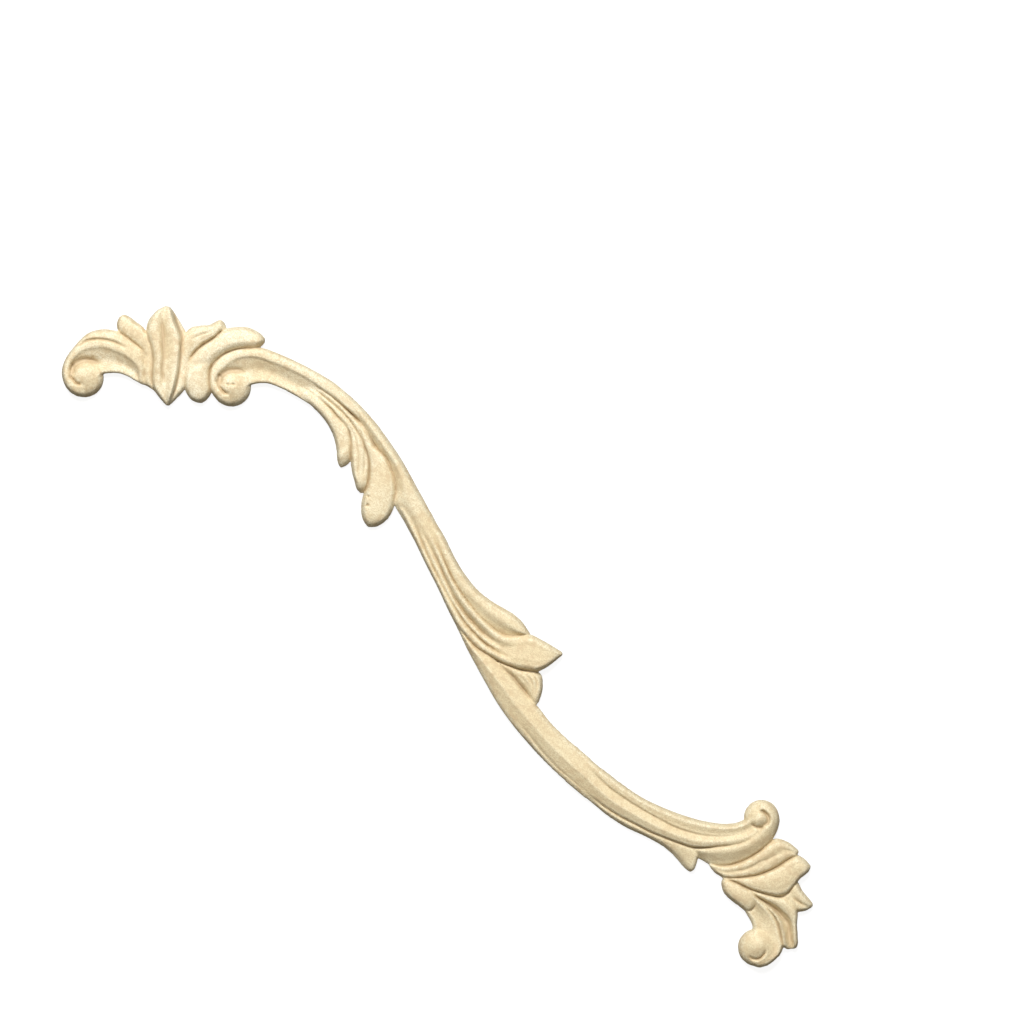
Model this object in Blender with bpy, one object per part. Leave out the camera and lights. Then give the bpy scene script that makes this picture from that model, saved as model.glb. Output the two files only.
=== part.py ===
"""Bendable moulded wood onlay: a long drop of acanthus leaves between scrolls, cast in one piece.

The piece lies face up on its flat back. X runs along its length, from the leaf cluster at the
crest to the scrolls at the foot, and Z comes straight out of the carved face. It is built from
carved strips, such as a leaf, a rim or a rib of the stem, that are joined into one solid and
cut off flat at the back.
"""

import math

import bmesh
import bpy
from mathutils import Vector

# Driving sizes, in metres.
LENGTH = 0.470
MM = 0.001

# The strips are drawn on a plan of squares, x to the right and y down, on which the piece leans
# by LEAN. It measures PLAN_LENGTH squares from end to end, so a square is about half a millimetre.
PLAN_LENGTH = 941.2
PLAN_CENTRE = (465.5, 609.9)
LEAN = math.radians(40.0)
SQUARE = LENGTH / PLAN_LENGTH

# Each edge of a strip is pushed out by EASE, in squares, so that neighbours overlap.
EASE = 0.4

# How finely the strips are cut into rings, and how far they run below the back before the cut.
RING_STEP = 8.0 * MM
DOME_SIDES = 18
DOME_RINGS = 4
SINK = 1.2 * MM
SINK_STEP = 0.06 * MM
WELD = 0.02 * MM

# Heights across a strip as parts of its crest height, at these places from edge a to edge b.
ACROSS = (0.0, 0.08, 0.28, 0.5, 0.72, 0.92, 1.0)
ROUND = (0.45, 0.74, 0.95, 1.0, 0.95, 0.74, 0.45)
RIM = (0.50, 0.76, 0.94, 1.0, 1.0, 0.98, 0.92)
BLADE = (0.50, 0.78, 0.96, 1.0, 0.97, 0.80, 0.48)
TWIN = (0.66, 0.86, 0.98, 0.84, 0.98, 1.0, 0.62)
STEEP = (0.95, 0.93, 0.82, 0.70, 0.58, 0.48, 0.42)
KEEL = (0.55, 0.76, 0.94, 1.0, 0.82, 0.58, 0.42)
ROOF = (0.62, 0.72, 0.85, 1.0, 0.82, 0.66, 0.58)
TURNED = (0.45, 0.76, 0.94, 1.0, 0.98, 0.66, 0.42)
SCOOP = (0.94, 0.87, 0.71, 0.56, 0.57, 0.65, 0.70)
LEDGE = (0.50, 0.80, 0.97, 1.0, 0.68, 0.50, 0.44)
CREST = (0.55, 0.86, 1.0, 0.90, 0.66, 0.50, 0.44)
SHELF = (0.78, 0.86, 0.94, 1.0, 1.0, 0.90, 0.58)
LEVEL = (0.50, 0.80, 0.95, 1.0, 1.0, 0.96, 0.82)
BROW = (0.50, 0.82, 1.0, 0.93, 0.86, 0.86, 0.78)
VOLUTE = (0.62, 0.86, 1.0, 0.82, 0.62, 0.50, 0.42)
LOBES = (0.52, 0.80, 0.97, 0.90, 0.95, 0.76, 0.50)
DISH = (0.62, 0.86, 0.95, 0.98, 1.0, 0.85, 0.50)
GUTTER = (0.98, 0.76, 0.50, 0.48, 0.80, 0.94, 0.60)
LIPPED = (0.60, 0.96, 0.88, 0.66, 0.62, 0.70, 0.50)
CUFF = (0.92, 0.98, 1.0, 0.93, 0.80, 0.64, 0.46)
FLAT = (1.0, 1.0, 1.0, 1.0, 1.0, 1.0, 1.0)
FIN = (0.90, 0.97, 1.0, 0.96, 0.86, 0.60, 0.40)

# Each strip has a name, its section at the start and at the end, and the cuts across it:
# x and y of edge a, x and y of edge b, in squares, and the crest height there, in millimetres.
STRIPS = (
    ("crest scroll rim", RIM, RIM, (
        (145, 385, 139, 382.7, 5.2), (145, 374, 139, 373, 6.0), (145, 364, 137, 366, 6.8),
        (143, 350, 132, 361, 7.4), (132, 341.5, 124, 355, 7.8), (122, 334, 113, 350.5, 8),
        (112, 330.6, 105, 348, 8), (101, 329.8, 97, 347.8, 8), (88, 333.5, 85.5, 350.3, 8),
        (77, 343.3, 77.5, 355.2, 8), (67.5, 355.7, 72.5, 361.3, 8), (62.5, 367.5, 69.8, 368.5, 8),
        (62.7, 378, 70, 376.5, 8), (67, 388, 73.5, 382, 8), (75.8, 395, 79, 385.5, 7.5),
        (85.5, 396.2, 85, 387, 6.3))),
    ("crest scroll hollow", SCOOP, SCOOP, (
        (141.8, 373.5, 141.5, 383.4, 5.6), (138.3, 366.8, 134.5, 379.7, 7.2),
        (130.3, 358.6, 127, 375.3, 7.6), (120.4, 352.4, 118, 372.3, 8), (108, 348, 108, 372, 8),
        (97, 346.9, 101, 373.5, 8), (86, 349.4, 96, 378, 8), (76.8, 354.3, 88, 380, 8),
        (71.4, 361.2, 82, 380, 8))),
    ("crest side leaf", BLADE, BLADE, (
        (148, 378, 154, 352, 5.2), (144.5, 360, 152.5, 345, 6.2), (141, 349.5, 148, 336, 7),
        (132, 341.5, 142, 327.5, 7.2), (124, 335.6, 134, 321.3, 7.2), (118.3, 330, 128.5, 317, 7),
        (117, 323, 124.5, 315.2, 6.6), (119, 317.5, 121.8, 315.2, 5.8))),
    ("crest neck lobe", ROUND, ROUND, (
        (146, 344, 152, 342, 5), (145, 353, 152.8, 351, 5.9), (143.2, 364, 153, 362, 6.2),
        (144, 376, 152, 376, 6), (144.6, 384, 153, 388, 5.2), (150, 387, 155.5, 391.3, 4.6))),
    ("crest main leaf", TWIN, TWIN, (
        (165.5, 306.3, 168.5, 306.7, 6), (158, 310, 171.3, 311, 8), (151, 317, 173.8, 318, 9),
        (147.4, 325, 177.5, 328, 9.5), (147, 334, 180.5, 336, 9.5), (150.5, 346, 181.2, 346, 9.5),
        (153, 358, 180, 359, 9.5), (152.5, 372, 178.5, 373, 9.3), (153.5, 387, 175, 388, 8.8),
        (159, 396.5, 171.5, 397, 8), (166.3, 405, 168.5, 405, 6))),
    ("crest main leaf, steep side", STEEP, STEEP, (
        (167, 307, 169, 307, 5), (169, 311, 171.8, 310.8, 6.6), (171.5, 318, 176.5, 318, 7.6),
        (175, 326, 181.5, 326.5, 8), (177.5, 333, 184.6, 333, 7.8), (179.5, 341, 184.6, 342, 6.8),
        (180, 349, 184, 349, 5.6))),
    ("crest skirt", ROUND, ROUND, (
        (181, 342, 188, 343, 5.6), (180, 360, 188, 362, 5.8), (178, 375, 185.5, 377, 5.6),
        (174, 388, 184, 387.5, 5.2), (170, 399, 176.5, 397, 4.8), (167.5, 405, 170, 403.5, 4.4))),
    ("crest curled leaf", BLADE, BLADE, (
        (181.5, 366, 187.5, 366, 5.6), (181.5, 350, 191, 356.5, 6.4), (183.5, 338, 196, 350.8, 7.2),
        (190, 328.5, 203, 344.8, 7.6), (200, 326, 211, 339.7, 7.7), (209, 325.2, 216.5, 335.8, 7.6),
        (216, 321.8, 220.5, 331.5, 7.5), (220.3, 320.4, 222, 331.3, 7), (223.5, 322.5, 226.5, 330, 4.8))),
    ("crest long leaf and drop", ROUND, TURNED, (
        (196.5, 402.2, 200.5, 402.6, 4.5), (190.5, 398.5, 206, 398.8, 7),
        (185.5, 390, 210.3, 391, 8.2), (184.3, 379, 209.6, 379.5, 8.6),
        (186.5, 367, 210.5, 369.5, 8.3), (191, 356.8, 213.5, 363.8, 8.2), (200, 347, 221, 356.5, 8.6),
        (212, 339, 230, 351.6, 8.9), (222.5, 330.6, 240, 349, 9), (236, 327.4, 248, 348.9, 8.8),
        (248.5, 328, 255, 349, 8.3), (259, 333.3, 260.3, 345.5, 7.5), (264.2, 338.6, 264, 341.5, 5.5))),
    ("upper stem", KEEL, KEEL, (
        (455, 562, 432, 571, 5), (444, 540, 418, 546, 6.3), (432, 517, 405, 522, 7.2),
        (423, 500, 394.5, 503, 7.8), (415, 485.5, 395, 488, 8), (403, 463.5, 388.5, 463, 8),
        (392, 446.5, 379, 450, 8), (380.5, 430.5, 369.5, 436.5, 8), (368, 415, 357.5, 420, 7.8),
        (354, 400.3, 345, 406, 7.4), (337, 385.5, 328, 392.8, 6.6), (320, 375, 312, 381.4, 5.4))),
    ("upper scroll rim", RIM, RIM, (
        (379.5, 428.5, 371.5, 431.5, 5.2), (366.5, 413.2, 357.5, 417, 7),
        (352.5, 399, 343.5, 405, 7.5), (337, 385.5, 328, 392.8, 7.5), (318, 373.5, 309, 379.4, 7.5),
        (298, 363, 291, 370, 7.5), (279, 354.5, 274, 363, 7.7), (263, 348.7, 260, 358, 8),
        (249, 348.5, 249, 356.8, 8), (236, 349.7, 239, 358.5, 8), (223, 355, 230, 363.3, 8),
        (213, 365, 221.5, 370.7, 8), (209.6, 376, 217.3, 376, 8), (210.3, 388, 218.5, 385, 8),
        (216, 398, 221.5, 390.5, 8), (224, 404, 226.5, 394, 7.4), (232, 405.4, 232, 395.5, 5.8))),
    ("upper scroll hollow", SCOOP, SCOOP, (
        (218.6, 373, 238, 392, 8), (226.4, 365.2, 243, 388, 8), (237.8, 358.2, 250, 384, 8),
        (250, 356, 259, 382.3, 8), (262, 357.5, 268, 382.6, 8), (276, 362.8, 279, 386.5, 7.8),
        (291, 369.3, 290, 391.7, 7.6), (304.5, 376.3, 301, 398.2, 7.3), (317, 384.2, 311, 404.7, 6.7),
        (326.5, 391, 319.5, 412.5, 5.7), (335, 397.5, 327, 421.5, 4.6))),
    ("first stem leaf", ROUND, BLADE, (
        (288, 380, 287, 390.4, 3.4), (301, 386, 298.5, 396.6, 4.6), (314, 393, 309, 403.3, 5.8),
        (326, 404, 319, 412.6, 6.3), (338, 417, 328, 424, 6.4), (348, 428, 334.2, 437, 6.4),
        (351.2, 442, 337, 450, 6.3), (351, 453, 337.3, 456.5, 6.2), (350, 460, 338.6, 463.4, 4.6),
        (346, 465, 341, 467.3, 2.8))),
    ("second stem leaf", BLADE, BLADE, (
        (298, 380.5, 295, 383.5, 3.4), (308.5, 386, 305.5, 389, 4.6), (319, 392.8, 315.5, 395.8, 5.6),
        (332, 403, 328.5, 406, 6.2), (346, 416, 339, 418.5, 6.6), (357, 431, 349, 431, 6.8),
        (364.6, 446, 351, 444, 7), (368.7, 459, 351.2, 458.5, 7.2), (369.2, 470, 352.3, 471, 7.1),
        (368, 482, 355.2, 482, 6.8), (366, 488, 357, 488.6, 5.2), (363.5, 492.3, 360.5, 492.6, 3))),
    ("third stem leaf", BLADE, BLADE, (
        (303, 378.8, 299.5, 381.5, 3.6), (313, 383.8, 309.5, 387, 4.8),
        (323.5, 390.2, 320, 393.2, 5.7), (340, 403, 336, 406.3, 6.2), (354, 417, 348, 418.5, 6.6),
        (365.3, 429, 357, 431, 7), (374, 446, 364.5, 446, 7.2), (386, 459, 368.5, 459, 7.4),
        (393, 474.6, 369.1, 474, 7.5), (395.8, 487, 366.5, 487.5, 7.5), (394.5, 501, 362.3, 500, 7.4),
        (390.5, 513, 361.8, 513, 7.2), (384.6, 521, 364.4, 521.5, 6.2), (376, 526.6, 368.5, 526.9, 3.6))),
    ("middle upper leaf", ROUND, ROUND, (
        (430, 512.5, 424, 516, 5.8), (436, 524, 430, 529, 6.2), (444.6, 538.5, 437, 545, 6.6),
        (452, 554, 443.5, 559, 7), (461, 570, 451, 576, 7.3), (472, 585, 460, 591.5, 7.5),
        (480, 593.3, 467, 600, 7.3), (488, 599.5, 476, 607, 6.6))),
    ("middle upper leaf tip", ROUND, LEDGE, (
        (463, 573, 452, 578, 6.6), (472, 585, 460, 592, 7.5), (482, 595, 468, 603, 7.6),
        (493, 603, 476, 614, 7.6), (504, 609.3, 487, 625, 7.6), (514, 615.5, 499, 633, 7.4),
        (522, 623, 511, 637.2, 7), (527.5, 631, 521, 636.3, 6.2), (529.7, 634, 528, 635.7, 5))),
    ("middle leaf ridge", ROUND, CREST, (
        (426, 513, 415.5, 515, 6.4), (431, 530, 421.5, 529, 6.8), (437, 544, 428.5, 543, 7),
        (446, 565, 438.5, 564, 7.3), (453, 580.5, 446, 581, 7.5), (461, 593, 453.6, 597.7, 7.6),
        (471, 606.5, 462, 611, 7.6), (482.5, 619.8, 471, 622, 7.6), (490, 627, 478.5, 630, 7.5))),
    ("middle leaf ridge tip", CREST, SHELF, (
        (476, 612.5, 466.3, 616.7, 7.2), (484, 621, 473, 624.3, 7.5), (494, 630, 482, 633, 7.5),
        (505, 636.5, 493, 643, 7.5), (516, 637, 507, 650, 7.5), (530, 635.7, 522, 656, 7.2),
        (540, 640.5, 536, 655, 6.4))),
    ("middle leaf rib", ROUND, ROUND, (
        (416, 515, 409, 512, 6), (421.5, 529, 415.5, 527, 6), (428.5, 543, 422, 542, 6.1),
        (438.5, 564, 432, 565, 6.2), (446, 581, 441.5, 584, 6.2), (453.6, 597.7, 450, 599.5, 6.2),
        (462, 611, 458, 612.5, 6.2), (471, 622, 466, 625, 6.2), (482, 633, 477.7, 637, 6.2),
        (494, 642, 487, 645, 6.2), (505, 647, 500, 653, 6.3), (513, 651, 509, 657, 6.3))),
    ("middle leaf edge", ROUND, ROUND, (
        (409, 511, 398.5, 508.5, 6), (415.5, 527, 407.3, 525, 6), (422, 542, 415.2, 541, 6.1),
        (432, 565, 426.5, 564.5, 6.2), (441.5, 584, 437.5, 586, 6.3), (450, 599.5, 444.5, 601, 6.4),
        (458, 612.5, 451, 614.5, 6.5), (466, 625, 458, 627, 6.6), (477.7, 637, 467.5, 638.5, 6.7),
        (487, 645, 479, 649.3, 6.9), (500, 653, 492, 657, 7.2), (514, 657.5, 504, 663.7, 7.4),
        (528, 660, 519, 669.4, 7.3), (538, 662, 533, 671.2, 6.8))),
    ("middle leaf blade", DISH, DISH, (
        (492, 640, 487, 656.5, 5.2), (502, 642, 498, 661.3, 6.2), (511, 641, 508, 665.2, 7.1),
        (520, 637.5, 517, 668.7, 7.8), (530, 635.5, 527, 670.8, 8.2), (540, 640, 536, 671.6, 8.3),
        (549, 645, 543.5, 668.7, 8), (556, 649.3, 551, 664, 7.2), (562.5, 653.5, 562, 655, 5))),
    ("middle lower lobe", ROUND, ROUND, (
        (499, 662, 498, 663.5, 5), (511, 666.8, 506, 671, 5.9), (523, 670.3, 513, 678, 6.2),
        (534, 671.5, 519, 686, 6.3), (541, 676, 525, 692.5, 6.2), (542.3, 686, 529.5, 698.5, 6),
        (540.8, 695, 533, 702, 5.5), (538, 703, 535.5, 705.5, 4.4))),
    ("lower stem", ROOF, ROOF, (
        (455.5, 623, 454, 621, 4.6), (463, 633, 460.5, 633.5, 5.4), (473, 643.7, 467.5, 648.5, 6.2),
        (485, 652.6, 476.5, 665.3, 6.9), (496, 661.5, 486.5, 683.5, 7.3),
        (508.5, 673, 496, 700.3, 7.5), (519, 686, 507, 716.6, 7.6), (529, 698, 517.5, 730, 7.6),
        (539.5, 710, 527.5, 741, 7.6), (551, 724.5, 537.5, 752, 7.5), (568.5, 741.5, 552, 767.5, 7.5),
        (590, 760, 570.5, 785, 7.5), (600, 768.5, 582.5, 795, 7), (610, 777.5, 594.5, 804, 6.2),
        (620, 787, 606, 813, 5))),
    ("foot upper rib", LEVEL, BROW, (
        (576, 747.5, 573, 752, 4.6), (588, 758.3, 584.5, 763, 5.8), (600, 768.5, 595.5, 774, 6.6),
        (610, 776, 604.5, 782.5, 6.9), (620, 783.8, 613, 790, 7.1), (640, 797.5, 632, 803, 7.2),
        (660, 807.5, 653, 815.5, 7.3), (680, 815.4, 674, 826.5, 7.4), (700, 821.5, 696, 833.8, 7.4),
        (720, 825, 719, 836.5, 7.3), (735, 824.6, 738, 835, 7.2), (745, 821, 750, 830.5, 7),
        (752, 817, 759, 824, 6.4))),
    ("foot middle rib", ROOF, SHELF, (
        (585, 757, 570, 779, 6.6), (597, 772, 582.5, 790.5, 7.3), (607, 783.5, 594.5, 799.7, 7.4),
        (620, 794.6, 611, 811.5, 7.5), (640, 807.7, 631, 822.5, 7.6), (660, 819, 652, 833, 7.7),
        (680, 829, 674, 841.5, 7.8), (700, 834.6, 697, 847.7, 7.9), (718, 836.5, 717, 846.5, 7.9),
        (735, 835.3, 737, 844.2, 7.9), (748, 831.5, 752, 839, 7.8), (757, 825, 762, 832, 7.4))),
    ("foot scroll", VOLUTE, CUFF, (
        (690, 846.5, 696.5, 857.3, 4.8), (700, 847.7, 703, 860.5, 5.8),
        (710, 847.3, 710.5, 864.6, 6.8), (720, 846, 722, 866.8, 7.5), (731, 845.2, 735, 864.7, 7.9),
        (742, 842.7, 748, 859.3, 8.1), (752, 838, 758, 853.2, 8.2), (759, 832, 766, 846.5, 8.2))),
    ("foot scroll curl", CUFF, CUFF, (
        (748, 840, 753, 856.3, 8), (756, 835, 762, 850, 8.1), (762, 829.5, 770, 842.5, 8.2),
        (766.5, 824, 776.5, 832, 8.2), (768.2, 818, 779.3, 820, 8.2), (766, 812, 776.3, 811, 8),
        (762, 809, 768, 803, 7.4), (758.5, 811, 761.5, 801.5, 6.4))),
    ("foot thorn", FIN, FIN, (
        (517, 722.5, 514, 726, 3.6), (528, 735, 524.5, 738.5, 4.2), (541, 749.5, 538, 753.7, 4.4),
        (556, 765, 553, 768.8, 4.4), (575, 782, 571.5, 785.6, 4.4), (591, 796, 588, 799, 4.4),
        (610, 811, 606, 814, 4.8), (630, 822, 626, 827, 5), (650, 832.3, 646, 836.4, 5.2),
        (670, 840, 662, 845.3, 5.4), (684, 845, 671, 852.2, 5.6), (692, 847.7, 678, 859.5, 5.6),
        (697.3, 855, 683, 865.5, 5.4), (696.5, 863, 687.5, 870, 5), (694, 870, 691, 872.2, 4))),
    ("foot first leaf", LOBES, LOBES, (
        (709, 864, 711, 868, 4.4), (716, 865.3, 717, 874, 5.2), (725, 866, 727, 878.5, 6),
        (736, 864, 740, 878.4, 6.6), (748, 858.7, 755, 876.4, 7), (758, 852.5, 768, 872.2, 7.2),
        (767, 845, 778, 867.2, 7.2), (777, 840, 786, 862, 7.1), (788, 843.2, 791.5, 858.7, 6.8),
        (796, 848.7, 795.8, 856.9, 6.3), (798.8, 852, 798, 854, 5))),
    ("foot second leaf", BLADE, BLADE, (
        (722, 876.5, 724, 880.3, 4.6), (732, 878, 734, 881.4, 5.4), (745, 877.2, 744, 886.3, 6.6),
        (757, 875.3, 756, 891.4, 7.4), (769, 871, 767, 895, 8), (780, 865.5, 778, 897.5, 8.2),
        (790, 858.7, 787, 894.7, 8.2), (797, 856.4, 792.5, 888.2, 8), (803, 859, 799.5, 879.5, 7.6),
        (807.5, 862.8, 805.5, 874.7, 6.9), (810.8, 867, 809, 871.5, 5.4))),
    ("foot small leaf", LOBES, LOBES, (
        (789, 886, 776, 896, 5.4), (796.5, 882, 783, 903, 6), (802.3, 891.5, 790.5, 908.5, 6.3),
        (808, 898.5, 798, 911.8, 6), (812.3, 904, 805.5, 911, 4.8), (812.6, 907, 810, 909, 4))),
    ("foot fan", ROUND, RIM, (
        (745, 886.5, 747, 892, 4.8), (754, 890.5, 754, 895, 5.4), (764, 893.5, 763, 899.3, 6.2),
        (776, 896.5, 773, 903.8, 6.8), (785, 898, 781, 909.2, 7.1), (791, 902, 786.5, 914.2, 7.2),
        (795.5, 908, 790.5, 919, 7.2), (797.6, 915, 792.9, 924, 7.1), (796.8, 925, 793.4, 930, 7),
        (797.4, 936, 793.8, 938.5, 6.8), (797.7, 944, 794.5, 944.5, 6), (796, 948.6, 793.5, 948.9, 4.6))),
    ("foot hanging leaf", GUTTER, GUTTER, (
        (748, 889, 750, 894.5, 4.8), (756, 893.6, 757, 899.6, 5.5), (764, 899.6, 763, 904, 6),
        (773, 903.8, 770, 911, 6.6), (781, 909.2, 775.5, 918, 6.8), (786.5, 914.2, 778.5, 924, 6.9),
        (790.5, 919, 780.2, 930.5, 7), (793, 927, 781.7, 937, 7), (794.2, 937, 782.6, 942, 6.9),
        (795.5, 945, 784, 946.8, 6.2), (794, 949.2, 787.5, 949.5, 4.6))),
    ("foot lower scroll", LIPPED, RIM, (
        (750, 889.6, 741.5, 904.5, 6.2), (755.5, 896.5, 744.7, 909.5, 6.8),
        (764, 904.8, 748.2, 915.5, 6.2), (770.5, 911.3, 751.7, 921.5, 5.8), (776, 919, 754, 928, 5.7),
        (779.8, 929, 753, 934, 5.9), (782, 938, 757, 940, 6.4), (783, 946, 764, 944.5, 7.1),
        (780.7, 953.5, 766, 950, 7.6), (775.6, 959.3, 764.5, 955, 7.9), (768, 965, 761, 958.5, 7.8),
        (759, 967.3, 757.5, 960, 7.2), (751, 964.3, 753, 959, 5.8))),
    ("foot bead", ROUND, ROUND, (
        (727, 880, 722.8, 881, 4.8), (730, 880.8, 722.6, 886, 6), (738, 883.8, 724.8, 893, 7),
        (746, 888.2, 730.8, 899.5, 7.6), (752.5, 894, 737.8, 904.9, 7.5),
        (755.5, 900.5, 742.3, 908.5, 6.9), (754.5, 906.5, 745.2, 911, 5.8),
        (751.5, 909.8, 748.5, 911, 4.6))),
    ("web of the crest", FLAT, FLAT, (
        (138, 350, 138, 372, 2.4), (146, 345, 146, 382, 2.4), (153, 345, 154.2, 390.4, 2.4),
        (158, 350, 158.5, 394, 2.4))),
    ("web of the long leaf", FLAT, FLAT, (
        (204, 362, 205, 378, 2.4), (212, 358, 212, 380, 2.4), (219, 362, 219, 376, 2.4))),
    ("web of the stem leaves", FLAT, FLAT, (
        (296, 366, 292, 384, 2.4), (312, 376, 306, 391, 2.4), (328, 387, 320, 399, 2.4),
        (344, 400, 334, 412, 2.4), (358, 415, 345, 426, 2.4), (370, 432, 354, 440, 2.4),
        (382, 450, 362, 455, 2.4), (391, 468, 366, 470, 2.4), (392, 484, 368, 484, 2.4))),
    ("web of the middle leaf", FLAT, FLAT, (
        (470, 616, 464, 634, 2.4), (482, 624, 477, 650, 2.4), (494, 628, 488, 668, 2.4),
        (506, 630, 502, 676, 2.4), (517, 634, 514, 676, 2.4))),
    ("web of the thorn", FLAT, FLAT, (
        (674, 834, 671, 846, 2.4), (684, 838, 681, 851, 2.4), (694, 842, 692, 853, 2.4),
        (702, 845, 701, 857, 2.4))),
    ("web of the foot", FLAT, FLAT, (
        (728, 875, 727, 886, 2.4), (738, 877, 735, 890, 2.4), (748, 883, 742, 898, 2.4),
        (758, 889, 751, 905, 2.4), (770, 895, 759, 914, 2.4), (782, 901, 766, 926, 2.4),
        (790, 909, 772, 938, 2.4), (794, 920, 778, 941, 2.4), (794.5, 930, 784, 943, 2.4))),
)

# Each scroll ends in a ball: its name, x and y in squares, radius in squares, and height in millimetres.
BALLS = (
    ("crest scroll ball", 83.5, 377.8, 19.2, 8.8),
    ("upper scroll ball", 231, 387, 19.3, 8.9),
    ("foot scroll ball", 762, 818, 17.4, 7.8),
    ("foot lower scroll ball", 757, 948.3, 18.5, 8.6),
)

# Pale cream moulded wood fibre, matt.
COLOUR = (0.78, 0.66, 0.45, 1.0)
ROUGHNESS = 0.62


def lay(x, y, z):
    """A point of the plan, in squares, with its height, laid in the part's own frame."""
    across = x - PLAN_CENTRE[0]
    down = y - PLAN_CENTRE[1]
    along = SQUARE * (across * math.cos(LEAN) + down * math.sin(LEAN))
    aside = SQUARE * (across * math.sin(LEAN) - down * math.cos(LEAN))
    return Vector((along, aside, z))


def smooth(rows, place):
    """The row at a place between 0 and len(rows) - 1, on a Catmull-Rom curve through the rows."""
    first = min(int(place), len(rows) - 2)
    t = place - first
    before, start, end, after = (rows[min(max(first + k, 0), len(rows) - 1)] for k in (-1, 0, 1, 2))
    row = []
    for p, q, r, s in zip(before, start, end, after):
        slope_in = (r - p) / 2
        slope_out = (s - q) / 2
        row.append(q + t * (slope_in + t * (3 * (r - q) - 2 * slope_in - slope_out
                                            + t * (slope_in + slope_out - 2 * (r - q)))))
    return row


def rings_of(cuts):
    """Where to cut rings along a strip: every cut, and more between two that are far apart."""
    places = []
    for k in range(len(cuts) - 1):
        here = Vector(((cuts[k][0] + cuts[k][2]) / 2, (cuts[k][1] + cuts[k][3]) / 2))
        there = Vector(((cuts[k + 1][0] + cuts[k + 1][2]) / 2, (cuts[k + 1][1] + cuts[k + 1][3]) / 2))
        count = max(1, round((there - here).length * SQUARE / RING_STEP))
        places += [k + n / count for n in range(count)]
    return places + [len(cuts) - 1]


def loft(bm, rings):
    """A closed solid through rings; the second half of each ring runs back under the first."""
    verts = [[bm.verts.new(point) for point in ring] for ring in rings]
    for here, there in zip(verts, verts[1:]):
        for k in range(len(here)):
            after = (k + 1) % len(here)
            bm.faces.new((here[k], here[after], there[after], there[k]))
    half = len(verts[0]) // 2
    for end in (verts[0], verts[-1]):
        for k in range(half - 1):
            bm.faces.new((end[k], end[k + 1], end[-2 - k], end[-1 - k]))


def strip_mesh(start, end, cuts, sink):
    """A carved strip, as a closed mesh that reaches down to sink below the back."""
    bm = bmesh.new()
    rings = []
    for place in rings_of(cuts):
        ax, ay, bx, by, crest = smooth(cuts, place)
        share = place / (len(cuts) - 1)
        grow = EASE / max(math.hypot(bx - ax, by - ay), 2 * EASE)
        top = []
        under = []
        for u, low, high in zip(ACROSS, start, end):
            spread = u * (1 + 2 * grow) - grow
            x = ax + (bx - ax) * spread
            y = ay + (by - ay) * spread
            top.append(lay(x, y, crest * (low + (high - low) * share) * MM))
            under.append(lay(x, y, -sink))
        rings.append(top + under[::-1])
    loft(bm, rings)
    return finish(bm)


def dome_mesh(x, y, radius, height, sink):
    """The ball that ends a scroll, as a closed mesh."""
    bm = bmesh.new()
    rings = [(1.0, -sink)]
    for k in range(DOME_RINGS):
        rise = math.radians(90) * k / DOME_RINGS
        rings.append((math.cos(rise), height * MM * (0.42 + 0.58 * math.sin(rise) ** 1.4)))
    verts = []
    for spread, z in rings:
        turn = [2 * math.pi * k / DOME_SIDES for k in range(DOME_SIDES)]
        verts.append([lay(x + radius * spread * math.cos(a), y + radius * spread * math.sin(a), z)
                      for a in turn])
    loft(bm, verts)
    return finish(bm)


def finish(bm):
    """Triangles with their faces turned out, as a mesh."""
    bmesh.ops.triangulate(bm, faces=bm.faces, ngon_method="EAR_CLIP")
    bmesh.ops.recalc_face_normals(bm, faces=bm.faces)
    mesh = bpy.data.meshes.new("strip")
    bm.to_mesh(mesh)
    bm.free()
    return mesh


def add_object(name, mesh):
    """An object with the mesh, in the scene."""
    thing = bpy.data.objects.new(name, mesh)
    bpy.context.scene.collection.objects.link(thing)
    return thing


def combine(body, tools, operation):
    """The body joined with the tools, or cut by them; the tools go."""
    group = bpy.data.collections.new("tools")
    for tool in tools:
        group.objects.link(tool)
    change = body.modifiers.new(operation.lower(), "BOOLEAN")
    change.operation = operation
    change.solver = "EXACT"
    change.operand_type = "COLLECTION"
    change.collection = group
    bpy.context.view_layer.update()
    shaped = bpy.data.meshes.new_from_object(body.evaluated_get(bpy.context.evaluated_depsgraph_get()))
    body.modifiers.clear()
    body.data = shaped
    for tool in tools:
        bpy.data.objects.remove(tool)
    bpy.data.collections.remove(group)


def block_below():
    """A block whose top is the plane of the back."""
    bm = bmesh.new()
    bmesh.ops.create_cube(bm, size=2 * LENGTH)
    bmesh.ops.translate(bm, verts=bm.verts, vec=(0, 0, -LENGTH))
    mesh = bpy.data.meshes.new("below the back")
    bm.to_mesh(mesh)
    bm.free()
    return add_object("below the back", mesh)


def casting():
    """Every strip and ball joined into one solid, cut off flat at the back."""
    meshes = [strip_mesh(start, end, cuts, SINK + SINK_STEP * k)
              for k, (_, start, end, cuts) in enumerate(STRIPS)]
    meshes += [dome_mesh(x, y, radius, height, SINK + SINK_STEP * (k + len(STRIPS)))
               for k, (_, x, y, radius, height) in enumerate(BALLS)]
    body = add_object("onlay", meshes[0])
    combine(body, [add_object("strip", mesh) for mesh in meshes[1:]], "UNION")
    combine(body, [block_below()], "DIFFERENCE")
    return body


def weld(body):
    """Merges the points that the joining leaves within WELD of each other."""
    bm = bmesh.new()
    bm.from_mesh(body.data)
    bmesh.ops.remove_doubles(bm, verts=bm.verts, dist=WELD)
    bmesh.ops.triangulate(bm, faces=bm.faces)
    bm.to_mesh(body.data)
    bm.free()


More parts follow.
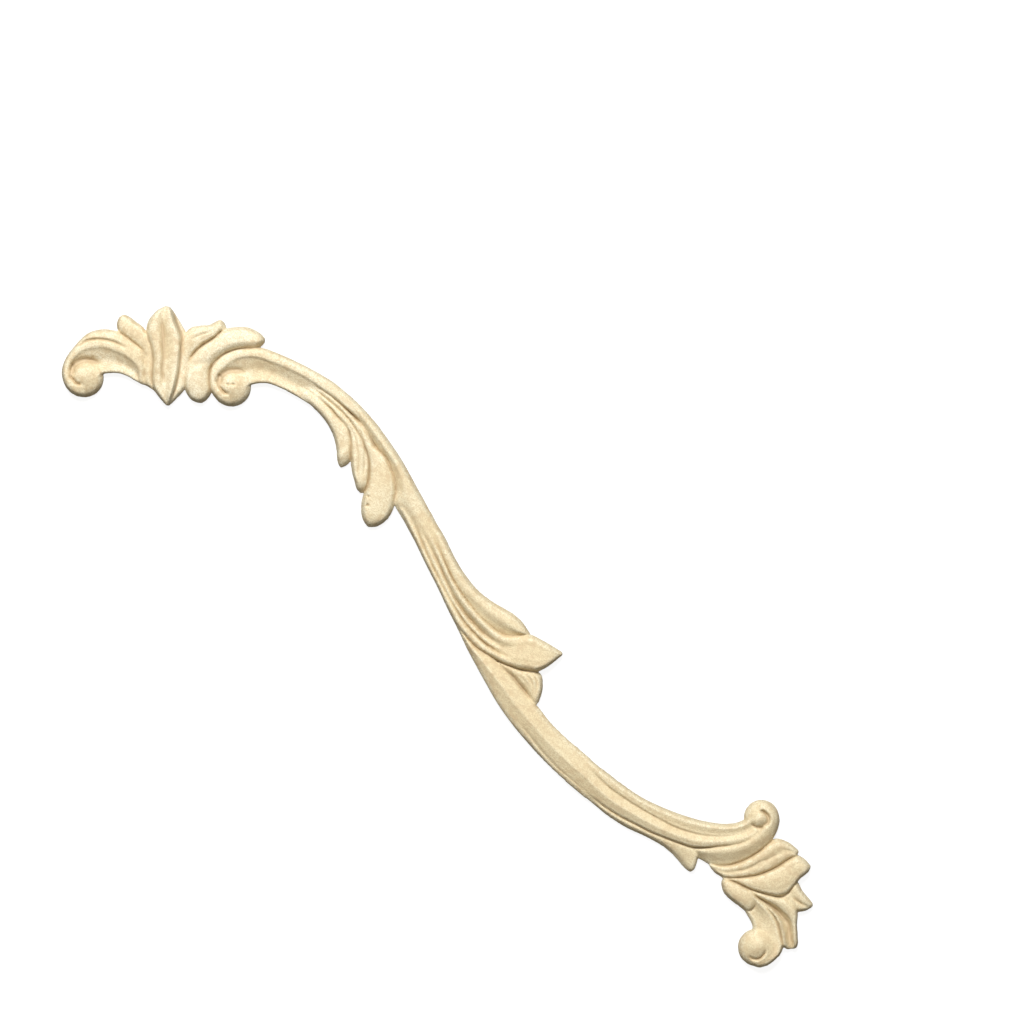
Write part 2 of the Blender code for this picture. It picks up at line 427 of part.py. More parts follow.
def centre(body):
    """Moves the mesh so that the middle of its box is over the origin."""
    corners = [[vert.co[k] for vert in body.data.vertices] for k in (0, 1)]
    middle = Vector([(min(side) + max(side)) / 2 for side in corners] + [0.0])
    for vert in body.data.vertices:
        vert.co -= middle


def paint(body):
    """The one material of the casting."""
    material = bpy.data.materials.new("moulded_wood")
    material.use_nodes = True
    shader = material.node_tree.nodes["Principled BSDF"]
    shader.inputs["Base Color"].default_value = COLOUR
    shader.inputs["Roughness"].default_value = ROUGHNESS
    shader.inputs["Metallic"].default_value = 0.0
    body.data.materials.clear()
    body.data.materials.append(material)


for thing in list(bpy.data.objects):
    bpy.data.objects.remove(thing)
onlay = casting()
weld(onlay)
centre(onlay)
paint(onlay)
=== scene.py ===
"""Looks of the bendable moulded wood onlay: its carved face in full detail, its finish, floor and light.

The face is a height map: the same carved strips as the solid, cut much finer, with the thin creases
and ribs of the moulding laid over them. It lies where the solid lies and keeps to its box.
"""

import math

import bpy
import numpy as np
from mathutils import Matrix, Vector
from mathutils.geometry import tessellate_polygon


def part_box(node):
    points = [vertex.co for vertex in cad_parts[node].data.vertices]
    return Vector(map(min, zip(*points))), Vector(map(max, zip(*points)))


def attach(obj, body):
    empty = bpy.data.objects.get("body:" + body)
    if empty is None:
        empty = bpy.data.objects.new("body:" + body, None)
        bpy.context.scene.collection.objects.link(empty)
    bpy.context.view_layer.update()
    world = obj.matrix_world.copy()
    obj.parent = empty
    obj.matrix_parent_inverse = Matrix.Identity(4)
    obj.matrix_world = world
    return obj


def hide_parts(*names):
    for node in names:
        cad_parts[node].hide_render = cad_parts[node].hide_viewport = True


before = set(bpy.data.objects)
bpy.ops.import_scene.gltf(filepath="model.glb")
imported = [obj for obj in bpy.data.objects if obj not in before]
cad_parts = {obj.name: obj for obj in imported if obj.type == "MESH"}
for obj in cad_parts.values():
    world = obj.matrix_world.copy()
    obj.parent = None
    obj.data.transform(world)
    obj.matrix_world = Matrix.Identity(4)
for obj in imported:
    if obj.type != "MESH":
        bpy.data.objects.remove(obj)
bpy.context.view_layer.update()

# Sizes in millimetres, as in the part's source. The plan has squares of about half a millimetre.
# It is turned by LEAN and moved by SHIFT to lie as the solid does.
LENGTH = 470.0
PLAN_LENGTH = 941.2
PLAN_CENTRE = (465.5, 609.9)
LEAN = math.radians(40.0)
SHIFT = (0.479, -0.095)
SQUARE = LENGTH / PLAN_LENGTH
M = 0.001

# The height map's cells and margin, and how many cells a square of the mesh spans.
CELL = 0.24
MARGIN = 3.0
MESH_CELLS = 2

# How finely the strips are sampled, with some to spare, and how far they overlap.
SAMPLE = 0.11
SPARE_ALONG = 1.3
SPARE_ACROSS = 1.15
EASE = 0.4

# The balls of the scrolls: how high at the edge, how round, and how far they blend.
BALL_FOOT = 0.34
BALL_ROUND = 0.55
BALL_BLEND = 3.0

# The creases: points cut for each one given, how many they fade over, how many half widths they
# reach, and the least height that they leave.
CREASE_POINTS = 40
CREASE_FADE = 1.5
CREASE_REACH = 3
LEAST_HEIGHT = 1.0

# The softness of the casting: of its face, of its face at the edge, and of its outline.
FACE_SOFT = 0.24
EDGE_SOFT = 4 * FACE_SOFT
OUTLINE_SOFT = 0.30

# The roll of the outer edge: its width, the share of the height where it starts, and how much the
# face is evened out there.
ROLL = 2.1
ROLL_FOOT = 0.64
EDGE_LIFT = 0.7

# The hollows that get painted shade: how wide they are, and what a millimetre of crease adds to it.
HOLLOW_REACH = 0.9
CREASE_SHADE = 0.4

# The cover at the outline, where the face is thin, and where it is too small to divide by.
OUTLINE = 0.5
THIN_COVER = 0.02
NO_COVER = 1e-6

# Distances are compared in this part of a square millimetre.
FINE = 1e5
FAR = np.int64(2) ** 62

# Mesh edges steeper than this stay crisp.
CRISP = math.radians(65)

# Heights across a strip as parts of its crest height, at these places from edge a to edge b.
ACROSS = (0.0, 0.08, 0.28, 0.5, 0.72, 0.92, 1.0)
ROUND = (0.45, 0.74, 0.95, 1.0, 0.95, 0.74, 0.45)
RIM = (0.50, 0.76, 0.94, 1.0, 1.0, 0.98, 0.92)
BLADE = (0.50, 0.78, 0.96, 1.0, 0.97, 0.80, 0.48)
TWIN = (0.66, 0.86, 0.98, 0.84, 0.98, 1.0, 0.62)
STEEP = (0.95, 0.93, 0.82, 0.70, 0.58, 0.48, 0.42)
KEEL = (0.55, 0.76, 0.94, 1.0, 0.82, 0.58, 0.42)
ROOF = (0.62, 0.72, 0.85, 1.0, 0.82, 0.66, 0.58)
TURNED = (0.45, 0.76, 0.94, 1.0, 0.98, 0.66, 0.42)
SCOOP = (0.94, 0.87, 0.71, 0.56, 0.57, 0.65, 0.70)
LEDGE = (0.50, 0.80, 0.97, 1.0, 0.68, 0.50, 0.44)
CREST = (0.55, 0.86, 1.0, 0.90, 0.66, 0.50, 0.44)
SHELF = (0.78, 0.86, 0.94, 1.0, 1.0, 0.90, 0.58)
LEVEL = (0.50, 0.80, 0.95, 1.0, 1.0, 0.96, 0.82)
BROW = (0.50, 0.82, 1.0, 0.93, 0.86, 0.86, 0.78)
VOLUTE = (0.62, 0.86, 1.0, 0.82, 0.62, 0.50, 0.42)
LOBES = (0.52, 0.80, 0.97, 0.90, 0.95, 0.76, 0.50)
DISH = (0.62, 0.86, 0.95, 0.98, 1.0, 0.85, 0.50)
GUTTER = (0.98, 0.76, 0.50, 0.48, 0.80, 0.94, 0.60)
LIPPED = (0.60, 0.96, 0.88, 0.66, 0.62, 0.70, 0.50)
CUFF = (0.92, 0.98, 1.0, 0.93, 0.80, 0.64, 0.46)
FLAT = (1.0, 1.0, 1.0, 1.0, 1.0, 1.0, 1.0)
FIN = (0.90, 0.97, 1.0, 0.96, 0.86, 0.60, 0.40)

# Each strip has a name, its section at the start and at the end, and the stations along it:
# x and y of edge a, x and y of edge b, in squares, and the crest height there, in millimetres.
STRIPS = (
    ("crest scroll rim", RIM, RIM, (
        (145, 385, 139, 382.7, 5.2), (145, 374, 139, 373, 6.0), (145, 364, 137, 366, 6.8),
        (143, 350, 132, 361, 7.4), (132, 341.5, 124, 355, 7.8), (122, 334, 113, 350.5, 8),
        (112, 330.6, 105, 348, 8), (101, 329.8, 97, 347.8, 8), (88, 333.5, 85.5, 350.3, 8),
        (77, 343.3, 77.5, 355.2, 8), (67.5, 355.7, 72.5, 361.3, 8), (62.5, 367.5, 69.8, 368.5, 8),
        (62.7, 378, 70, 376.5, 8), (67, 388, 73.5, 382, 8), (75.8, 395, 79, 385.5, 7.5),
        (85.5, 396.2, 85, 387, 6.3))),
    ("crest scroll hollow", SCOOP, SCOOP, (
        (141.8, 373.5, 141.5, 383.4, 5.6), (138.3, 366.8, 134.5, 379.7, 7.2),
        (130.3, 358.6, 127, 375.3, 7.6), (120.4, 352.4, 118, 372.3, 8), (108, 348, 108, 372, 8),
        (97, 346.9, 101, 373.5, 8), (86, 349.4, 96, 378, 8), (76.8, 354.3, 88, 380, 8),
        (71.4, 361.2, 82, 380, 8))),
    ("crest side leaf", BLADE, BLADE, (
        (148, 378, 154, 352, 5.2), (144.5, 360, 152.5, 345, 6.2), (141, 349.5, 148, 336, 7),
        (132, 341.5, 142, 327.5, 7.2), (124, 335.6, 134, 321.3, 7.2), (118.3, 330, 128.5, 317, 7),
        (117, 323, 124.5, 315.2, 6.6), (119, 317.5, 121.8, 315.2, 5.8))),
    ("crest neck lobe", ROUND, ROUND, (
        (146, 344, 152, 342, 5), (145, 353, 152.8, 351, 5.9), (143.2, 364, 153, 362, 6.2),
        (144, 376, 152, 376, 6), (144.6, 384, 153, 388, 5.2), (150, 387, 155.5, 391.3, 4.6))),
    ("crest main leaf", TWIN, TWIN, (
        (165.5, 306.3, 168.5, 306.7, 6), (158, 310, 171.3, 311, 8), (151, 317, 173.8, 318, 9),
        (147.4, 325, 177.5, 328, 9.5), (147, 334, 180.5, 336, 9.5), (150.5, 346, 181.2, 346, 9.5),
        (153, 358, 180, 359, 9.5), (152.5, 372, 178.5, 373, 9.3), (153.5, 387, 175, 388, 8.8),
        (159, 396.5, 171.5, 397, 8), (166.3, 405, 168.5, 405, 6))),
    ("crest main leaf, steep side", STEEP, STEEP, (
        (167, 307, 169, 307, 5), (169, 311, 171.8, 310.8, 6.6), (171.5, 318, 176.5, 318, 7.6),
        (175, 326, 181.5, 326.5, 8), (177.5, 333, 184.6, 333, 7.8), (179.5, 341, 184.6, 342, 6.8),
        (180, 349, 184, 349, 5.6))),
    ("crest skirt", ROUND, ROUND, (
        (181, 342, 188, 343, 5.6), (180, 360, 188, 362, 5.8), (178, 375, 185.5, 377, 5.6),
        (174, 388, 184, 387.5, 5.2), (170, 399, 176.5, 397, 4.8), (167.5, 405, 170, 403.5, 4.4))),
    ("crest curled leaf", BLADE, BLADE, (
        (181.5, 366, 187.5, 366, 5.6), (181.5, 350, 191, 356.5, 6.4), (183.5, 338, 196, 350.8, 7.2),
        (190, 328.5, 203, 344.8, 7.6), (200, 326, 211, 339.7, 7.7), (209, 325.2, 216.5, 335.8, 7.6),
        (216, 321.8, 220.5, 331.5, 7.5), (220.3, 320.4, 222, 331.3, 7), (223.5, 322.5, 226.5, 330, 4.8))),
    ("crest long leaf and drop", ROUND, TURNED, (
        (196.5, 402.2, 200.5, 402.6, 4.5), (190.5, 398.5, 206, 398.8, 7), (185.5, 390, 210.3, 391, 8.2),
        (184.3, 379, 209.6, 379.5, 8.6), (186.5, 367, 210.5, 369.5, 8.3), (191, 356.8, 213.5, 363.8, 8.2),
        (200, 347, 221, 356.5, 8.6), (212, 339, 230, 351.6, 8.9), (222.5, 330.6, 240, 349, 9),
        (236, 327.4, 248, 348.9, 8.8), (248.5, 328, 255, 349, 8.3), (259, 333.3, 260.3, 345.5, 7.5),
        (264.2, 338.6, 264, 341.5, 5.5))),
    ("upper stem", KEEL, KEEL, (
        (455, 562, 432, 571, 5), (444, 540, 418, 546, 6.3), (432, 517, 405, 522, 7.2),
        (423, 500, 394.5, 503, 7.8), (415, 485.5, 395, 488, 8), (403, 463.5, 388.5, 463, 8),
        (392, 446.5, 379, 450, 8), (380.5, 430.5, 369.5, 436.5, 8), (368, 415, 357.5, 420, 7.8),
        (354, 400.3, 345, 406, 7.4), (337, 385.5, 328, 392.8, 6.6), (320, 375, 312, 381.4, 5.4))),
    ("upper scroll rim", RIM, RIM, (
        (379.5, 428.5, 371.5, 431.5, 5.2), (366.5, 413.2, 357.5, 417, 7), (352.5, 399, 343.5, 405, 7.5),
        (337, 385.5, 328, 392.8, 7.5), (318, 373.5, 309, 379.4, 7.5), (298, 363, 291, 370, 7.5),
        (279, 354.5, 274, 363, 7.7), (263, 348.7, 260, 358, 8), (249, 348.5, 249, 356.8, 8),
        (236, 349.7, 239, 358.5, 8), (223, 355, 230, 363.3, 8), (213, 365, 221.5, 370.7, 8),
        (209.6, 376, 217.3, 376, 8), (210.3, 388, 218.5, 385, 8), (216, 398, 221.5, 390.5, 8),
        (224, 404, 226.5, 394, 7.4), (232, 405.4, 232, 395.5, 5.8))),
    ("upper scroll hollow", SCOOP, SCOOP, (
        (218.6, 373, 238, 392, 8), (226.4, 365.2, 243, 388, 8), (237.8, 358.2, 250, 384, 8),
        (250, 356, 259, 382.3, 8), (262, 357.5, 268, 382.6, 8), (276, 362.8, 279, 386.5, 7.8),
        (291, 369.3, 290, 391.7, 7.6), (304.5, 376.3, 301, 398.2, 7.3), (317, 384.2, 311, 404.7, 6.7),
        (326.5, 391, 319.5, 412.5, 5.7), (335, 397.5, 327, 421.5, 4.6))),
    ("first stem leaf", ROUND, BLADE, (
        (288, 380, 287, 390.4, 3.4), (301, 386, 298.5, 396.6, 4.6), (314, 393, 309, 403.3, 5.8),
        (326, 404, 319, 412.6, 6.3), (338, 417, 328, 424, 6.4), (348, 428, 334.2, 437, 6.4),
        (351.2, 442, 337, 450, 6.3), (351, 453, 337.3, 456.5, 6.2), (350, 460, 338.6, 463.4, 4.6),
        (346, 465, 341, 467.3, 2.8))),
    ("second stem leaf", BLADE, BLADE, (
        (298, 380.5, 295, 383.5, 3.4), (308.5, 386, 305.5, 389, 4.6), (319, 392.8, 315.5, 395.8, 5.6),
        (332, 403, 328.5, 406, 6.2), (346, 416, 339, 418.5, 6.6), (357, 431, 349, 431, 6.8),
        (364.6, 446, 351, 444, 7), (368.7, 459, 351.2, 458.5, 7.2), (369.2, 470, 352.3, 471, 7.1),
        (368, 482, 355.2, 482, 6.8), (366, 488, 357, 488.6, 5.2), (363.5, 492.3, 360.5, 492.6, 3))),
    ("third stem leaf", BLADE, BLADE, (
        (303, 378.8, 299.5, 381.5, 3.6), (313, 383.8, 309.5, 387, 4.8), (323.5, 390.2, 320, 393.2, 5.7),
        (340, 403, 336, 406.3, 6.2), (354, 417, 348, 418.5, 6.6), (365.3, 429, 357, 431, 7),
        (374, 446, 364.5, 446, 7.2), (386, 459, 368.5, 459, 7.4), (393, 474.6, 369.1, 474, 7.5),
        (395.8, 487, 366.5, 487.5, 7.5), (394.5, 501, 362.3, 500, 7.4), (390.5, 513, 361.8, 513, 7.2),
        (384.6, 521, 364.4, 521.5, 6.2), (376, 526.6, 368.5, 526.9, 3.6))),
    ("middle upper leaf", ROUND, ROUND, (
        (430, 512.5, 424, 516, 5.8), (436, 524, 430, 529, 6.2), (444.6, 538.5, 437, 545, 6.6),
        (452, 554, 443.5, 559, 7), (461, 570, 451, 576, 7.3), (472, 585, 460, 591.5, 7.5),
        (480, 593.3, 467, 600, 7.3), (488, 599.5, 476, 607, 6.6))),
    ("middle upper leaf tip", ROUND, LEDGE, (
        (463, 573, 452, 578, 6.6), (472, 585, 460, 592, 7.5), (482, 595, 468, 603, 7.6),
        (493, 603, 476, 614, 7.6), (504, 609.3, 487, 625, 7.6), (514, 615.5, 499, 633, 7.4),
        (522, 623, 511, 637.2, 7), (527.5, 631, 521, 636.3, 6.2), (529.7, 634, 528, 635.7, 5))),
    ("middle leaf ridge", ROUND, CREST, (
        (426, 513, 415.5, 515, 6.4), (431, 530, 421.5, 529, 6.8), (437, 544, 428.5, 543, 7),
        (446, 565, 438.5, 564, 7.3), (453, 580.5, 446, 581, 7.5), (461, 593, 453.6, 597.7, 7.6),
        (471, 606.5, 462, 611, 7.6), (482.5, 619.8, 471, 622, 7.6), (490, 627, 478.5, 630, 7.5))),
    ("middle leaf ridge tip", CREST, SHELF, (
        (476, 612.5, 466.3, 616.7, 7.2), (484, 621, 473, 624.3, 7.5), (494, 630, 482, 633, 7.5),
        (505, 636.5, 493, 643, 7.5), (516, 637, 507, 650, 7.5), (530, 635.7, 522, 656, 7.2),
        (540, 640.5, 536, 655, 6.4))),
    ("middle leaf rib", ROUND, ROUND, (
        (416, 515, 409, 512, 6), (421.5, 529, 415.5, 527, 6), (428.5, 543, 422, 542, 6.1),
        (438.5, 564, 432, 565, 6.2), (446, 581, 441.5, 584, 6.2), (453.6, 597.7, 450, 599.5, 6.2),
        (462, 611, 458, 612.5, 6.2), (471, 622, 466, 625, 6.2), (482, 633, 477.7, 637, 6.2),
        (494, 642, 487, 645, 6.2), (505, 647, 500, 653, 6.3), (513, 651, 509, 657, 6.3))),
    ("middle leaf edge", ROUND, ROUND, (
        (409, 511, 398.5, 508.5, 6), (415.5, 527, 407.3, 525, 6), (422, 542, 415.2, 541, 6.1),
        (432, 565, 426.5, 564.5, 6.2), (441.5, 584, 437.5, 586, 6.3), (450, 599.5, 444.5, 601, 6.4),
        (458, 612.5, 451, 614.5, 6.5), (466, 625, 458, 627, 6.6), (477.7, 637, 467.5, 638.5, 6.7),
        (487, 645, 479, 649.3, 6.9), (500, 653, 492, 657, 7.2), (514, 657.5, 504, 663.7, 7.4),
        (528, 660, 519, 669.4, 7.3), (538, 662, 533, 671.2, 6.8))),
    ("middle leaf blade", DISH, DISH, (
        (492, 640, 487, 656.5, 5.2), (502, 642, 498, 661.3, 6.2), (511, 641, 508, 665.2, 7.1),
        (520, 637.5, 517, 668.7, 7.8), (530, 635.5, 527, 670.8, 8.2), (540, 640, 536, 671.6, 8.3),
        (549, 645, 543.5, 668.7, 8), (556, 649.3, 551, 664, 7.2), (562.5, 653.5, 562, 655, 5))),
    ("middle lower lobe", ROUND, ROUND, (
        (499, 662, 498, 663.5, 5), (511, 666.8, 506, 671, 5.9), (523, 670.3, 513, 678, 6.2),
        (534, 671.5, 519, 686, 6.3), (541, 676, 525, 692.5, 6.2), (542.3, 686, 529.5, 698.5, 6),
        (540.8, 695, 533, 702, 5.5), (538, 703, 535.5, 705.5, 4.4))),
    ("lower stem", ROOF, ROOF, (
        (455.5, 623, 454, 621, 4.6), (463, 633, 460.5, 633.5, 5.4), (473, 643.7, 467.5, 648.5, 6.2),
        (485, 652.6, 476.5, 665.3, 6.9), (496, 661.5, 486.5, 683.5, 7.3), (508.5, 673, 496, 700.3, 7.5),
        (519, 686, 507, 716.6, 7.6), (529, 698, 517.5, 730, 7.6), (539.5, 710, 527.5, 741, 7.6),
        (551, 724.5, 537.5, 752, 7.5), (568.5, 741.5, 552, 767.5, 7.5), (590, 760, 570.5, 785, 7.5),
        (600, 768.5, 582.5, 795, 7), (610, 777.5, 594.5, 804, 6.2), (620, 787, 606, 813, 5))),
    ("foot upper rib", LEVEL, BROW, (
        (576, 747.5, 573, 752, 4.6), (588, 758.3, 584.5, 763, 5.8), (600, 768.5, 595.5, 774, 6.6),
        (610, 776, 604.5, 782.5, 6.9), (620, 783.8, 613, 790, 7.1), (640, 797.5, 632, 803, 7.2),
        (660, 807.5, 653, 815.5, 7.3), (680, 815.4, 674, 826.5, 7.4), (700, 821.5, 696, 833.8, 7.4),
        (720, 825, 719, 836.5, 7.3), (735, 824.6, 738, 835, 7.2), (745, 821, 750, 830.5, 7),
        (752, 817, 759, 824, 6.4))),
    ("foot middle rib", ROOF, SHELF, (
        (585, 757, 570, 779, 6.6), (597, 772, 582.5, 790.5, 7.3), (607, 783.5, 594.5, 799.7, 7.4),
        (620, 794.6, 611, 811.5, 7.5), (640, 807.7, 631, 822.5, 7.6), (660, 819, 652, 833, 7.7),
        (680, 829, 674, 841.5, 7.8), (700, 834.6, 697, 847.7, 7.9), (718, 836.5, 717, 846.5, 7.9),
        (735, 835.3, 737, 844.2, 7.9), (748, 831.5, 752, 839, 7.8), (757, 825, 762, 832, 7.4))),
    ("foot scroll", VOLUTE, CUFF, (
        (690, 846.5, 696.5, 857.3, 4.8), (700, 847.7, 703, 860.5, 5.8), (710, 847.3, 710.5, 864.6, 6.8),
        (720, 846, 722, 866.8, 7.5), (731, 845.2, 735, 864.7, 7.9), (742, 842.7, 748, 859.3, 8.1),
        (752, 838, 758, 853.2, 8.2), (759, 832, 766, 846.5, 8.2))),
    ("foot scroll curl", CUFF, CUFF, (
        (748, 840, 753, 856.3, 8), (756, 835, 762, 850, 8.1), (762, 829.5, 770, 842.5, 8.2),
        (766.5, 824, 776.5, 832, 8.2), (768.2, 818, 779.3, 820, 8.2), (766, 812, 776.3, 811, 8),
        (762, 809, 768, 803, 7.4), (758.5, 811, 761.5, 801.5, 6.4))),
    ("foot thorn", FIN, FIN, (
        (517, 722.5, 514, 726, 3.6), (528, 735, 524.5, 738.5, 4.2), (541, 749.5, 538, 753.7, 4.4),
        (556, 765, 553, 768.8, 4.4), (575, 782, 571.5, 785.6, 4.4), (591, 796, 588, 799, 4.4),
        (610, 811, 606, 814, 4.8), (630, 822, 626, 827, 5), (650, 832.3, 646, 836.4, 5.2),
        (670, 840, 662, 845.3, 5.4), (684, 845, 671, 852.2, 5.6), (692, 847.7, 678, 859.5, 5.6),
        (697.3, 855, 683, 865.5, 5.4), (696.5, 863, 687.5, 870, 5), (694, 870, 691, 872.2, 4))),
    ("foot first leaf", LOBES, LOBES, (
        (709, 864, 711, 868, 4.4), (716, 865.3, 717, 874, 5.2), (725, 866, 727, 878.5, 6),
        (736, 864, 740, 878.4, 6.6), (748, 858.7, 755, 876.4, 7), (758, 852.5, 768, 872.2, 7.2),
        (767, 845, 778, 867.2, 7.2), (777, 840, 786, 862, 7.1), (788, 843.2, 791.5, 858.7, 6.8),
        (796, 848.7, 795.8, 856.9, 6.3), (798.8, 852, 798, 854, 5))),
    ("foot second leaf", BLADE, BLADE, (
        (722, 876.5, 724, 880.3, 4.6), (732, 878, 734, 881.4, 5.4), (745, 877.2, 744, 886.3, 6.6),
        (757, 875.3, 756, 891.4, 7.4), (769, 871, 767, 895, 8), (780, 865.5, 778, 897.5, 8.2),
        (790, 858.7, 787, 894.7, 8.2), (797, 856.4, 792.5, 888.2, 8), (803, 859, 799.5, 879.5, 7.6),
        (807.5, 862.8, 805.5, 874.7, 6.9), (810.8, 867, 809, 871.5, 5.4))),
    ("foot small leaf", LOBES, LOBES, (
        (789, 886, 776, 896, 5.4), (796.5, 882, 783, 903, 6), (802.3, 891.5, 790.5, 908.5, 6.3),
        (808, 898.5, 798, 911.8, 6), (812.3, 904, 805.5, 911, 4.8), (812.6, 907, 810, 909, 4))),
    ("foot fan", ROUND, RIM, (
        (745, 886.5, 747, 892, 4.8), (754, 890.5, 754, 895, 5.4), (764, 893.5, 763, 899.3, 6.2),
        (776, 896.5, 773, 903.8, 6.8), (785, 898, 781, 909.2, 7.1), (791, 902, 786.5, 914.2, 7.2),
        (795.5, 908, 790.5, 919, 7.2), (797.6, 915, 792.9, 924, 7.1), (796.8, 925, 793.4, 930, 7),
        (797.4, 936, 793.8, 938.5, 6.8), (797.7, 944, 794.5, 944.5, 6), (796, 948.6, 793.5, 948.9, 4.6))),
    ("foot hanging leaf", GUTTER, GUTTER, (
        (748, 889, 750, 894.5, 4.8), (756, 893.6, 757, 899.6, 5.5), (764, 899.6, 763, 904, 6),
        (773, 903.8, 770, 911, 6.6), (781, 909.2, 775.5, 918, 6.8), (786.5, 914.2, 778.5, 924, 6.9),
        (790.5, 919, 780.2, 930.5, 7), (793, 927, 781.7, 937, 7), (794.2, 937, 782.6, 942, 6.9),
        (795.5, 945, 784, 946.8, 6.2), (794, 949.2, 787.5, 949.5, 4.6))),
    ("foot lower scroll", LIPPED, RIM, (
        (750, 889.6, 741.5, 904.5, 6.2), (755.5, 896.5, 744.7, 909.5, 6.8), (764, 904.8, 748.2, 915.5, 6.2),
        (770.5, 911.3, 751.7, 921.5, 5.8), (776, 919, 754, 928, 5.7), (779.8, 929, 753, 934, 5.9),
        (782, 938, 757, 940, 6.4), (783, 946, 764, 944.5, 7.1), (780.7, 953.5, 766, 950, 7.6),
        (775.6, 959.3, 764.5, 955, 7.9), (768, 965, 761, 958.5, 7.8), (759, 967.3, 757.5, 960, 7.2),
        (751, 964.3, 753, 959, 5.8))),
    ("foot bead", ROUND, ROUND, (
        (727, 880, 722.8, 881, 4.8), (730, 880.8, 722.6, 886, 6), (738, 883.8, 724.8, 893, 7),
        (746, 888.2, 730.8, 899.5, 7.6), (752.5, 894, 737.8, 904.9, 7.5), (755.5, 900.5, 742.3, 908.5, 6.9),
        (754.5, 906.5, 745.2, 911, 5.8), (751.5, 909.8, 748.5, 911, 4.6))),
    ("web of the crest", FLAT, FLAT, (
        (138, 350, 138, 372, 2.4), (146, 345, 146, 382, 2.4), (153, 345, 154.2, 390.4, 2.4),
        (158, 350, 158.5, 394, 2.4))),
    ("web of the long leaf", FLAT, FLAT, (
        (204, 362, 205, 378, 2.4), (212, 358, 212, 380, 2.4), (219, 362, 219, 376, 2.4))),
    ("web of the stem leaves", FLAT, FLAT, (
        (296, 366, 292, 384, 2.4), (312, 376, 306, 391, 2.4), (328, 387, 320, 399, 2.4),
        (344, 400, 334, 412, 2.4), (358, 415, 345, 426, 2.4), (370, 432, 354, 440, 2.4),
        (382, 450, 362, 455, 2.4), (391, 468, 366, 470, 2.4), (392, 484, 368, 484, 2.4))),
    ("web of the middle leaf", FLAT, FLAT, (
        (470, 616, 464, 634, 2.4), (482, 624, 477, 650, 2.4), (494, 628, 488, 668, 2.4),
        (506, 630, 502, 676, 2.4), (517, 634, 514, 676, 2.4))),
    ("web of the thorn", FLAT, FLAT, (
        (674, 834, 671, 846, 2.4), (684, 838, 681, 851, 2.4), (694, 842, 692, 853, 2.4),
        (702, 845, 701, 857, 2.4))),
    ("web of the foot", FLAT, FLAT, (
        (728, 875, 727, 886, 2.4), (738, 877, 735, 890, 2.4), (748, 883, 742, 898, 2.4),
        (758, 889, 751, 905, 2.4), (770, 895, 759, 914, 2.4), (782, 901, 766, 926, 2.4),
        (790, 909, 772, 938, 2.4), (794, 920, 778, 941, 2.4), (794.5, 930, 784, 943, 2.4))),
)

# Each scroll ends in a ball: its name, x and y in squares, radius in squares, and height in millimetres.
BALLS = (
    ("crest scroll ball", 83.5, 377.8, 19.2, 8.8),
    ("upper scroll ball", 231, 387, 19.3, 8.9),
    ("foot scroll ball", 762, 818, 17.4, 7.8),
    ("foot lower scroll ball", 757, 948.3, 18.5, 8.6),
)

